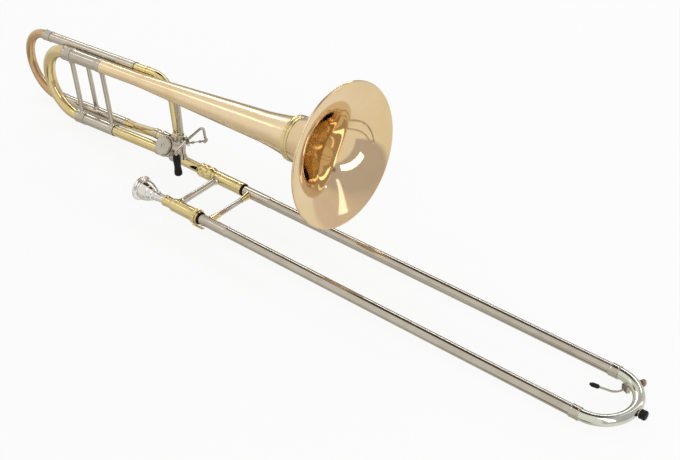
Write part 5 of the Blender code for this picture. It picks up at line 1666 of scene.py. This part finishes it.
@dataclass(frozen=True)
class FAttachment:
    """The F attachment's tubes: sleeves, pipes to the valve, tuning slide and brace."""

    frame: BellFrame = BellFrame()
    valve: ValveFrame = ValveFrame()
    wall: float = 0.5
    sleeve_start: float = 667.0
    upper_end: float = 457.5
    lower_end: float = 509.0
    bow_start: float = 687.0
    bow_depth: float = 54.3
    bow_lead: float = 2.5
    insertion: float = 140.0
    sleeve_radius: float = 8.25
    pipe_radius: float = 7.5
    ferrule_stand: float = 0.9
    brace_place: float = 585.0
    brace_radius: float = 3.75
    bend_place: float = 379.0
    bend_radius: float = 40.0
    port_bend: float = 12.0
    return_lead: float = 16.0
    return_bend: float = 22.0
    return_straight: float = 22.0

    def place(self, back: float, down: float = 0.0) -> Array:
        """Point in the F tubes' plane, which stands aside from the bell's."""
        return self.frame.place(back, down, self.frame.f_offset)

    def down_path(self) -> Array:
        """From the upper sleeve round the big bend, down to the valve's upper port.

        Returns:
            The points in metres.
        """
        port = self.valve.place(self.valve.port_across, self.valve.port_reach + GAP)
        above = port + self.valve.up * self.port_bend * 0.4 * MM
        return bent([self.place(self.upper_end - GAP), self.place(self.bend_place), above, port],
                    [self.bend_radius * MM, self.port_bend * MM])

    def return_path(self) -> Array:
        """From the lower sleeve through an S bend to the valve's rear port.

        Returns:
            The points in metres.
        """
        spacing = self.frame.spacing
        port = self.valve.place(-self.valve.stub_reach - GAP, self.valve.return_offset)
        return bent([self.place(self.lower_end - GAP, spacing),
                     self.place(self.lower_end - self.return_straight, spacing),
                     port - X * self.return_lead * MM, port],
                    [2 * self.return_bend * MM, self.return_bend * MM])

    def pipes(self, bench: Bench) -> None:
        """Build the two pipes to the valve, their ferrules and knuckles.

        Args:
            bench: Where the pieces go.
        """
        frame, body, radius = self.frame, Body.BELL_SECTION, self.pipe_radius
        down, back = self.down_path(), self.return_path()
        pipe, wall = radius * MM, self.wall * MM
        brass = Finish.YELLOW_BRASS
        first = swept(down, pipe, wall, np.cross(frame.ahead, frame.down), 56)
        bench.fit("f_branch_down", first, brass, body, "f_down_pipe")
        bench.fit("f_branch_return", swept(back, pipe, wall, Z, 56), brass, body, "f_return_pipe")
        bench.fit("f_return_ferrule", collar(back, len(back) - 2, radius, 8.0), Finish.NICKEL, body)
        knuckle = np.stack([self.place(self.upper_end - place) for place in (24.0, 26.0, 28.0)])
        knuckles = [collar(back, 0, radius, 6.0), collar(knuckle, 1, radius, 6.0),
                    collar(down, len(down) - 1, radius, 5.0, 0.9)]
        bench.fit("f_pipe_knuckles", knuckles, brass, body)

    def build(self, bench: Bench) -> None:
        """Build sleeves, pipes, the tuning slide, dark rings at the joints, and the brace. The rings stand
        for grease and solder, darkened as painted shade of the joints' gaps.

        Args:
            bench: Where the pieces go.
        """
        frame, aside = self.frame, self.frame.f_offset
        fixed, moving = Body.BELL_SECTION, Body.F_TUNING
        upper, lower = frame.axis(0.0, aside), frame.axis(frame.spacing, aside)
        sides = (("upper", upper, self.upper_end), ("lower", lower, self.lower_end))
        for name, line, end in sides:
            tube = sleeve(line, self.sleeve_start, end, self.sleeve_radius, self.wall, 0.3)
            bench.fit(f"{name}_f_sleeve", tube, Finish.NICKEL, fixed, f"f_{name}_sleeve")
        self.pipes(bench)
        path = bow_path(frame, self.bow_start + GAP, self.bow_depth, self.bow_lead, aside)
        bow = swept(path, self.pipe_radius * MM, self.wall * MM, Y, 56)
        bench.fit("f_tuning_bow", bow, Finish.BOW_BRASS, moving, "f_bow")
        radius, ferrule = self.sleeve_radius - self.wall - 0.2, self.sleeve_radius + self.ferrule_stand
        for name, line, _ in sides:
            leg = slide_leg(line, self.bow_start, self.sleeve_start, self.insertion, radius, ferrule,
                            self.wall)
            bench.fit(f"{name}_f_leg", leg, Finish.NICKEL, moving, f"f_{name}_leg")
        # Dark rings at the legs' joints: grease, and painted shade of the gaps
        grease_and_shade = [seam(line, height, radius + 0.5) for _, line, _ in sides
                  for height in (-self.sleeve_start - GAP, -self.bow_start - GAP / 2)]
        bench.fit("f_slide_grease_and_painted_shade", grease_and_shade, Finish.DARK_GREASE_AND_SHADE, moving)
        # Dark rings where the pipes are soldered to the sleeves' ends: painted shade at the joints
        solder_and_shade = [seam(line, GAP / 2 - end, self.pipe_radius + 0.5, 0.9) for _, line, end in sides]
        bench.fit("f_joint_solder_painted_shade", solder_and_shade, Finish.DARK_GREASE_AND_SHADE, fixed)
        brace = saddled_bar(self.place(self.brace_place), self.place(self.brace_place, frame.spacing),
                            self.brace_radius, (self.sleeve_radius, self.sleeve_radius), frame.ahead)
        bench.fit("f_sleeve_brace", brace, Finish.NICKEL, fixed, "f_brace")


@dataclass(frozen=True)
class RotaryValve:
    """The rotary valve: casing with four ports, cap, rear plate, stop arm and rotor."""

    frame: ValveFrame = ValveFrame()
    chamber: float = 15.3
    wall: float = 1.8
    half: float = 16.0
    stub_radius: float = 9.0
    stub_bore: float = 7.0
    cap_radius: float = 15.0
    cap_thickness: float = 5.0
    plate: float = 2.8
    spindle: float = 3.0
    arm_radius: float = 13.75
    arm_rest: float = math.radians(70)
    arm_swing: float = math.radians(90)
    arm_thickness: float = 2.4
    arm_width: float = 4.8
    post_place: float = 11.0
    post_radius: float = 1.6
    stud: float = 7.4
    ball_radius: float = 2.0

    @property
    def arm_plane(self) -> float:
        """Where the stop arm lies along the valve's axis."""
        return -(self.half + self.plate + 0.9 + self.arm_thickness / 2)

    @property
    def arm_outward(self) -> Array:
        """Direction of the stop arm at rest."""
        return X * math.cos(self.arm_rest) + self.frame.up * math.sin(self.arm_rest)

    @property
    def posts(self) -> list[Line]:
        """Axes of the two stop posts, where the arm's side meets their rubber at either end."""
        lean = math.asin((self.arm_width / 2 + self.post_radius + 0.5) / self.post_place)
        return [self.frame.line(math.cos(angle) * self.post_place, math.sin(angle) * self.post_place)
                for angle in (self.arm_rest - lean, self.arm_rest + self.arm_swing + lean)]

    def port(self, start: Array, direction: Array, reach: float) -> Shape:
        """A port's short tube with a rounded collar at its end, begun inside the casing's wall.

        Args:
            start: Point on the valve's axis, in metres.
            direction: Where the port points.
            reach: How far it reaches, in millimetres.

        Returns:
            The port.
        """
        first, radius, proud = 9.0, self.stub_radius, self.stub_radius + 0.5
        side = [(first, radius), (reach - 4.5, radius), (reach - 4.0, proud), (reach - 0.5, proud),
                (reach, radius), (reach, self.stub_bore), (first, self.stub_bore)]
        return turned(Line.through(start, direction), profile(side, 0.4), 64)

    def casing(self) -> list[Shape]:
        """The casing's barrel with a bead at each end, and its four ports.

        Returns:
            The barrel and the ports.
        """
        frame, half, outer = self.frame, self.half, self.chamber + self.wall
        side = [(-half, outer), (-half + 2.2, outer), (-half + 2.6, outer - 0.4), (half - 3.2, outer - 0.4),
                (half - 2.8, outer), (half, outer), (half, self.chamber), (-half, self.chamber)]
        low = frame.place(0.0, -frame.offset)
        return [turned(frame.line(), profile(side, 0.4), 128),
                self.port(low, X, frame.stub_reach), self.port(low, -X, frame.stub_reach),
                self.port(frame.place(0.0, frame.return_offset), -X, frame.stub_reach),
                self.port(frame.place(frame.port_across), frame.up, frame.port_reach)]

    def cap(self) -> Shape:
        """The screw cap: a finely knurled edge, a shallow dished face and a raised middle.

        Returns:
            The cap.
        """
        start = self.half + GAP
        face = start + self.cap_thickness
        radius, bearing = self.cap_radius, self.spindle + PLAY
        recess = start + self.cap_thickness / 2
        rows = [(recess, 0.0), (recess, bearing), (start, bearing), (start, radius - 0.2)]
        rows += tooth_rows(start + 0.7, face - 1.5, radius)
        rows += [(face - 0.8, radius), (face, radius - 0.9), (face - 0.05, radius - 2.4),
                 (face - 0.45, radius - 2.8), (face - 0.45, 4.4), (face, 4.0), (face, 2.3),
                 (face - 1.2, 2.1), (face - 1.2, 0.0)]
        teeth = knurl(start + 0.75, face - 1.55, 72, 0.2)
        return turned(self.frame.line(), profile(rows, 0.16, False, 3), 288, teeth)

    def rear_plate(self) -> list[Shape]:
        """The rear bearing plate with its two stop posts.

        Returns:
            The plate and the posts.
        """
        rear = -self.half - GAP
        plate = hoop(self.frame.line(), rear - self.plate, rear, self.chamber - 0.3, self.spindle + PLAY, 0.5)
        start, radius = self.arm_plane - self.arm_thickness, self.post_radius - 0.6
        return [plate] + [stud(line, start, rear - 1.0, radius, 0.2, 24) for line in self.posts]

    def stop_bumpers(self) -> list[Shape]:
        """Rubber sleeves on the stop posts."""
        start, end = self.arm_plane - self.arm_thickness + 0.4, -self.half - GAP - self.plate - 0.1
        return [stud(line, start, end, self.post_radius, 0.4, 32) for line in self.posts]

    def stop_arm(self) -> list[Shape]:
        """The arm on the rotor's spindle: hub, screw, bar and the ball that the link takes.

        Returns:
            The arm's shapes.
        """
        frame, plane, thick = self.frame, self.arm_plane, self.arm_thickness / 2
        outward, hole = self.arm_outward, self.spindle + GAP
        reach = self.arm_radius + 2.0 - hole
        middle = frame.place(0.0, 0.0, plane) + outward * (hole + reach / 2) * MM
        bar = block(middle, (outward, np.cross(frame.axis, outward), frame.axis),
                    (reach, self.arm_width, self.arm_thickness), 0.7)
        foot = Line.through(frame.place() + outward * self.arm_radius * MM, frame.axis)
        top = plane - thick - self.stud
        return [hoop(frame.line(), plane - thick, plane + thick, self.spindle + 2.3, hole, 0.4, 64), bar,
                stud(foot, top, plane, 1.1, 0.1, 24),
                stud(foot, plane - thick - 1.0, plane - thick, 2.0, 0.3, 32),
                ball(foot.at(top * MM), self.ball_radius, frame.axis)]

    def build(self, bench: Bench) -> None:
        """Build casing, cap, plate, stops and arm.

        Args:
            bench: Where the pieces go.
        """
        body = Body.BELL_SECTION
        bench.fit("valve_body", self.casing(), Finish.NICKEL, body, "valve_casing")
        bench.fit("valve_screw_cap", self.cap(), Finish.NICKEL, body, "valve_cap")
        bench.fit("valve_rear_plate", self.rear_plate(), Finish.NICKEL, body, "valve_back_plate")
        bench.fit("stop_bumpers", self.stop_bumpers(), Finish.RUBBER, body)
        bench.fit("valve_stop_arm", self.stop_arm(), Finish.NICKEL, Body.ROTOR, "stop_arm")
        bench.dress("rotor", Finish.YELLOW_BRASS)


@dataclass(frozen=True)
class ThumbLever:
    """Bell brace, lever saddle, sprung lever with its grip, and the link to the stop arm."""

    frame: BellFrame = BellFrame()
    bell: Bell = Bell()
    valve: RotaryValve = RotaryValve()
    neck_radius: float = 7.75
    brace_x: float = -67.0
    brace_radius: float = 3.9
    axis_offset: float = 11.0
    axis_z: float = 43.0
    rod: float = 2.2
    bend: float = 6.0
    saddle_wall: float = 1.5
    barrel_radius: float = 2.9
    barrel_length: float = 9.0
    ear: float = 1.8
    pin: float = 1.1
    grip_y: float = -22.0
    grip_top: float = 25.0
    grip_back: float = 3.0
    grip_length: float = 36.5
    grip_radius: float = 6.5
    far_reach: float = 35.0
    far_rise: float = 9.0
    ball_lead: float = 4.0
    ball_z: float = 26.0
    ball_radius: float = 2.0
    stud: float = 5.0
    eye_play: float = 1.4
    eye_wall: float = 1.2
    eye_thickness: float = 2.2
    eye_roll: float = math.radians(-30)
    link_radius: float = 1.3

    @property
    def axis_x(self) -> float:
        """Where the lever's hinge stands along X."""
        return self.brace_x + self.axis_offset

    @property
    def hinge(self) -> Line:
        """The lever's upright hinge axis, from the middle of its barrel."""
        return Line.through(np.array([self.axis_x, 0.0, self.axis_z]) * MM, Z)

    @property
    def grip_place(self) -> Array:
        """Middle of the grip's upper end, in metres."""
        return np.array([self.axis_x - self.grip_back, self.grip_y, self.grip_top]) * MM

    @property
    def ball_place(self) -> Array:
        """Middle of the lever's ball, in metres."""
        return np.array([self.axis_x + self.ball_lead, self.far_reach, self.ball_z]) * MM

    def brace(self) -> Shape:
        """The post from gooseneck to bell stem, flared at both ends and cut to sit on both tubes.

        Its radius grows from the middle by 2.6 (1 - h / 9)^1.6 towards the gooseneck, and by
        2 (1 - h / 5)^2 towards the stem, at a distance h from either.

        Returns:
            The post.
        """
        foot = np.array([self.brace_x, 0.0, 0.0]) * MM
        back = (self.frame.rim[0] / MM - self.brace_x) / self.frame.ahead[0]
        top = float(self.bell.side_radius(back))
        length = np.linalg.norm(self.frame.place(back) - foot) / MM
        height = np.concatenate([[0.0, 1.0, 2.2, 3.6, 5.5, 8.0, 11.0, 15.0], np.linspace(20.0, 74.0, 10),
                                 [78.0, 81.0, 83.5, 85.0, 86.0]])
        free = length - self.neck_radius - top
        height *= free / height[-1]
        near = np.clip(1 - height / 9.0, 0.0, 1.0)
        far = np.clip(1 - (free - height) / 5.0, 0.0, 1.0)
        radius = self.brace_radius + 2.6 * near ** 1.6 + 2.0 * far ** 2
        return saddled(Line.through(foot, Z), length * MM, height / free, radius * MM,
                       (self.neck_radius, top), 56)

    def saddle(self) -> list[Shape]:
        """The clamp round the brace, two lugs with their ears, and the pivot screw with its head.

        Returns:
            The saddle's shapes.
        """
        half, radius, bore = self.barrel_length / 2, self.barrel_radius, self.brace_radius + GAP
        top = half + self.ear + 0.4
        line = Line.through(np.array([self.brace_x, 0.0, self.axis_z]) * MM, Z)
        shapes = [hoop(line, -top, top, bore + self.saddle_wall, bore, 0.5, 64)]
        for middle in (-half - self.ear / 2, half + self.ear / 2):
            centre = np.array([(self.brace_x + self.axis_x) / 2, 0.0, self.axis_z + middle]) * MM
            shapes.append(block(centre, (X, Y, Z), (self.axis_offset, 1.6 * radius, self.ear - 0.4), 0.4))
            shapes.append(stud(self.hinge, middle - self.ear / 2, middle + self.ear / 2, radius, 0.4, 48))
        end = half + self.ear
        shapes.append(stud(self.hinge, -end - 0.8, end + 0.8, self.pin, 0.2, 32))
        shapes.append(stud(self.hinge, end - 0.2, end + 0.8, 2.1, 0.3, 32))
        return shapes

    def lever(self) -> list[Shape]:
        """The hinge barrel, the arm down into the grip and the arm out to the ball.

        Returns:
            The lever's shapes.
        """
        axis, half = self.hinge.start, self.barrel_length / 2 - GAP
        wall = (self.barrel_radius - 0.7) * MM
        end = self.grip_place - Z * (self.grip_length - 3.0) * MM
        corner = MM * np.array([self.axis_x + self.ball_lead / 2, self.far_reach,
                                self.axis_z + self.far_rise])
        stop = self.ball_place + Z * (self.stud + 1.6) * MM
        paths = [bent(corners, [self.bend * MM], math.radians(5))
                 for corners in ([axis - Y * wall, self.grip_place + Z * 8 * MM, end],
                                 [axis + Y * wall, corner, stop])]
        barrel = hoop(self.hinge, -half, half, self.barrel_radius, self.pin + PLAY, 0.4, 56)
        return [barrel] + [swept(path, self.rod * MM, None, X, 32) for path in paths]

    def grip(self) -> Shape:
        """The rubber grip: waisted, with a rounded foot.

        Returns:
            The grip.
        """
        radius, length, bore = self.grip_radius, self.grip_length, self.rod + GAP
        side = [(length - 2.7, 0.0), (length - 2.7, bore), (0.0, bore), (0.0, radius - 2.4),
                (1.5, radius - 1.0), (length * 0.14, radius - 0.55), (length * 0.28, radius - 0.5),
                (length * 0.42, radius - 0.95), (length * 0.55, radius - 1.3), (length * 0.7, radius - 0.8),
                (length * 0.85, radius), (length - 2.2, radius - 0.25), (length - 0.3, radius - 2.0),
                (length, 0.0)]
        return turned(Line.through(self.grip_place, -Z), profile(side, 2.2, False, 6), 72)

    def ball_stud(self) -> list[Shape]:
        """The ball under the lever's far arm, on its neck and socket."""
        line, end = Line.through(self.ball_place, Z), self.stud
        return [ball(self.ball_place, self.ball_radius), stud(line, 1.4, end + 0.3, 1.1, 0.1, 24),
                stud(line, end, end + 1.3, self.rod + 0.3, 0.35, 40)]

    def link(self) -> list[Shape]:
        """The threaded rod with its two lock nuts and the eyes round both balls.

        Returns:
            The link's shapes.
        """
        valve = self.valve
        plane = valve.arm_plane - valve.arm_thickness / 2 - valve.stud
        other = valve.frame.place(0.0, 0.0, plane) + valve.arm_outward * valve.arm_radius * MM
        line = Line.through(self.ball_place, other - self.ball_place)
        length = float(np.linalg.norm(other - self.ball_place)) / MM
        bore = self.ball_radius + self.eye_play
        first, last = bore + 0.4, length - bore - 0.4
        low, high = length * 0.3, length * 0.7
        shapes = [stud(line, first, last, self.link_radius * 0.8, 0.2, 24)]
        shapes += [hexagon(line, place - 1.2, place + 1.2, 2.7) for place in (low, high)]
        shapes += [stud(line, start, end, self.link_radius + 0.35, 0.3, 32)
                   for start, end in ((first, low), (high, last))]
        half, roll = self.eye_thickness / 2, self.eye_roll
        for place, pole in ((self.ball_place, Z), (other, valve.frame.axis)):
            normal = unit(pole - line.along * (pole @ line.along))
            normal = normal * math.cos(roll) + np.cross(line.along, normal) * math.sin(roll)
            shapes.append(hoop(Line.through(place, normal), -half, half, bore + self.eye_wall, bore, 0.4, 56))
        return shapes

    def build(self, bench: Bench) -> None:
        """Build brace, saddle, lever, grip, spring, ball and link.

        Args:
            bench: Where the pieces go.
        """
        fixed, lever = Body.BELL_SECTION, Body.THUMB_LEVER
        bench.fit("bell_brace_post", self.brace(), Finish.NICKEL, fixed, "bell_brace")
        bench.fit("thumb_lever_saddle", self.saddle(), Finish.NICKEL, fixed, "lever_saddle")
        bench.fit("thumb_lever_arms", self.lever(), Finish.NICKEL, lever, "thumb_lever")
        bench.fit("thumb_lever_grip", self.grip(), Finish.RUBBER, lever, "thumb_grip")
        bench.fit("thumb_lever_ball", self.ball_stud(), Finish.NICKEL, lever, "lever_ball")
        bench.fit("stop_link", self.link(), Finish.NICKEL, Body.LINK_ROD, "link_rod")
        half = self.barrel_length / 2 - 0.8
        spring = coil(self.hinge, -half, half, self.barrel_radius + 0.5, 0.4, 7.0)
        bench.fit("thumb_lever_spring", spring, Finish.SPRING_STEEL, lever)


@dataclass(frozen=True)
class Card:
    """A card that metal reflects: its direction, its colour, and its inner and outer reach in degrees."""

    direction: tuple[float, float, float]
    colour: str
    inner: float
    outer: float


@dataclass(frozen=True)
class Studio:
    """Camera, plain pale floor, soft lamps and a plain sky."""

    wall: tuple[float, float, float, float] = linear("#C9C4C9")
    cards: tuple[Card, ...] = (
        Card((0.5, 0.86, 0.0), "#E6DDDC", 18.0, 42.0),
        Card((0.0, 0.0, -1.0), "#FAF7F2", 72.0, 77.0),
        Card((-0.766, -0.643, 0.0), "#FAF7F2", 86.0, 92.0),
        Card((-0.53, -0.3, -0.8), "#D2CCC2", 8.0, 62.0),
        Card((-0.6, 0.45, -0.66), "#8F887C", 4.0, 26.0),
        Card((-0.53, 0.84, 0.1), "#A09A8B", 12.0, 28.0),
        Card((-0.72, 0.05, 0.69), "#F1EDE6", 5.0, 21.0),
        Card((-0.32, 0.25, 0.92), "#453F34", 13.0, 22.0),
        Card((-0.02, -0.8, -0.59), "#8F897E", 4.0, 18.0),
        Card((0.14, 0.05, 0.99), "#7A6E5F", 3.0, 12.0),
    )
    lens: float = 67.3256
    sensor: float = 36.0
    camera_place: tuple[float, float, float] = (1.22566, -1.09967, 1.09709)
    camera_turn: tuple[float, float, float] = (53.50185, 1.53114, 40.3113)
    floor_z: float = -0.0282
    floor_size: float = 9.0

    def camera(self) -> None:
        """Stand the camera where the photograph was taken from."""
        data = bpy.data.cameras.new("studio_camera")
        data.sensor_fit = "HORIZONTAL"
        data.sensor_width = self.sensor
        data.lens = self.lens
        data.clip_start = 0.05
        data.clip_end = 50.0
        camera = bpy.data.objects.new("studio_camera", data)
        camera.location = self.camera_place
        camera.rotation_euler = Euler([math.radians(angle) for angle in self.camera_turn])
        bpy.context.scene.collection.objects.link(camera)
        bpy.context.scene.camera = camera

    def floor(self) -> None:
        """Lay the floor: near white in sight, and it keeps the object's soft shadow."""
        half, height = self.floor_size / 2, self.floor_z
        mesh = bpy.data.meshes.new("studio_floor")
        corners = [(-half, -half, height), (half, -half, height), (half, half, height), (-half, half, height)]
        mesh.from_pydata(corners, [], [(0, 1, 2, 3)])
        made, tree = blank_material("painted_studio_floor")
        rays = add(tree, "LightPath").outputs
        seen = add(tree, "Math", {0: rays["Is Camera Ray"], 1: rays["Is Transmission Ray"]},
                   operation="MAXIMUM")
        share = add(tree, "Math", {0: seen, 1: 0.88}, operation="MULTIPLY")
        place = add(tree, "TexCoord").outputs["Object"]
        mottle = add(tree, "TexNoise", {"Vector": place, "Scale": 3.0, "Detail": 2.0})
        tint = add(tree, "MapRange", {"Value": mottle, "To Min": 0.89, "To Max": 0.91})
        paint = add(tree, "BsdfDiffuse", {"Color": tint})
        glow = add(tree, "Emission", {"Color": (1.0, 1.0, 1.0, 1.0), "Strength": 1.0})
        mix = add(tree, "MixShader", {0: share, 1: paint, 2: glow})
        add(tree, "OutputMaterial", {"Surface": mix})
        mesh.materials.append(made)
        floor = bpy.data.objects.new("studio_floor", mesh)
        floor.visible_glossy = False
        bpy.context.scene.collection.objects.link(floor)

    def lamp(self, name: str, place: tuple[float, float, float], aim: tuple[float, float, float],
             size: tuple[float, float], power: float, near: Array | None = None) -> None:
        """Hang a soft box.

        Args:
            name: Its name.
            place: Where it hangs, in metres.
            aim: The point that it faces.
            size: Its width and height in metres.
            power: Its power in watts.
            near: The direction that its height lies close to, upwards where none is given.
        """
        data = bpy.data.lights.new(name, "AREA")
        data.shape = "RECTANGLE"
        data.size, data.size_y = size
        data.energy = power
        lamp = bpy.data.objects.new(name, data)
        lamp.visible_camera = False
        line = Line.through(np.array(place), np.array(place) - np.array(aim), near)
        lamp.location = place
        lamp.rotation_euler = Matrix(np.stack([line.aside, -line.across, line.along], 1).tolist()).to_euler()
        bpy.context.scene.collection.objects.link(lamp)

    def sky(self) -> None:
        """Light the room evenly, and show metal a grey wall, white paper and a photographer's cards.

        For a direction, the room's colour is the wall's, mixed in turn with each card's colour by a
        mask that rises smoothly from 0 to 1 as the direction turns from the card's edge to its middle.
        """
        world = bpy.data.worlds.new("studio_room")
        bpy.context.scene.world = world
        world.use_nodes = True
        tree = world.node_tree
        tree.nodes.clear()
        way = add(tree, "TexCoord").outputs["Generated"]
        room = self.wall
        for card in self.cards:
            facing = add(tree, "VectorMath", {0: way, 1: tuple(unit(np.array(card.direction)))},
                         operation="DOT_PRODUCT").outputs["Value"]
            mask = add(tree, "MapRange", {"Value": facing, "From Min": math.cos(math.radians(card.outer)),
                                          "From Max": math.cos(math.radians(card.inner))},
                       interpolation_type="SMOOTHSTEP")
            room = add(tree, "Mix", {"Factor": mask, 6: room, 7: linear(card.colour)},
                       data_type="RGBA").outputs[2]
        rays = add(tree, "LightPath").outputs
        seen = add(tree, "Math", {0: rays["Is Glossy Ray"], 1: rays["Is Transmission Ray"]},
                   operation="MAXIMUM")
        even = add(tree, "Background", {"Color": (1.0, 1.0, 1.0, 1.0), "Strength": 0.6})
        white = add(tree, "Background", {"Color": (1.0, 1.0, 1.0, 1.0), "Strength": 1.0})
        shown = add(tree, "Background", {"Color": room, "Strength": 1.0})
        mix = add(tree, "MixShader", {0: seen, 1: even, 2: shown})
        last = add(tree, "MixShader", {0: rays["Is Camera Ray"], 1: mix, 2: white})
        add(tree, "OutputWorld", {"Surface": last})

    def build(self) -> None:
        """Set up the studio."""
        self.camera()
        self.floor()
        self.lamp("rear_soft_box", (-0.6, 1.6, 1.3), (0.15, 0.0, 0.05), (3.0, 0.22), 11.0)
        self.lamp("front_soft_box", (1.39, -0.5, 1.0), (0.27, 0.0, 0.14), (0.4, 1.6), 5.0)
        self.lamp("tall_strip", (1.175, 0.79, 0.7), (0.27, 0.0, 0.14), (0.18, 1.6), 0.85)
        self.lamp("overhead_strip", (-1.47, -0.74, 1.37), (0.0, -0.03, 0.05), (0.14, 0.66), 0.62, X)
        self.sky()
        bpy.context.scene.view_settings.view_transform = "Standard"


def main() -> None:
    """Dress the trombone and set up its studio."""
    logging.basicConfig(level=logging.INFO, format="%(name)s: %(message)s")
    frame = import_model()
    Studio().build()
    bench = Bench(frame)
    for assembly in (InnerSlide(), SlideLock(), LockNut(), Mouthpiece(), OuterSlide(), WaterKey(), Bell(),
                     MainTubes(), FAttachment(), RotaryValve(), ThumbLever()):
        LOG.info("building %s", type(assembly).__name__)
        assembly.build(bench)


if __name__ == "__main__":
    main()
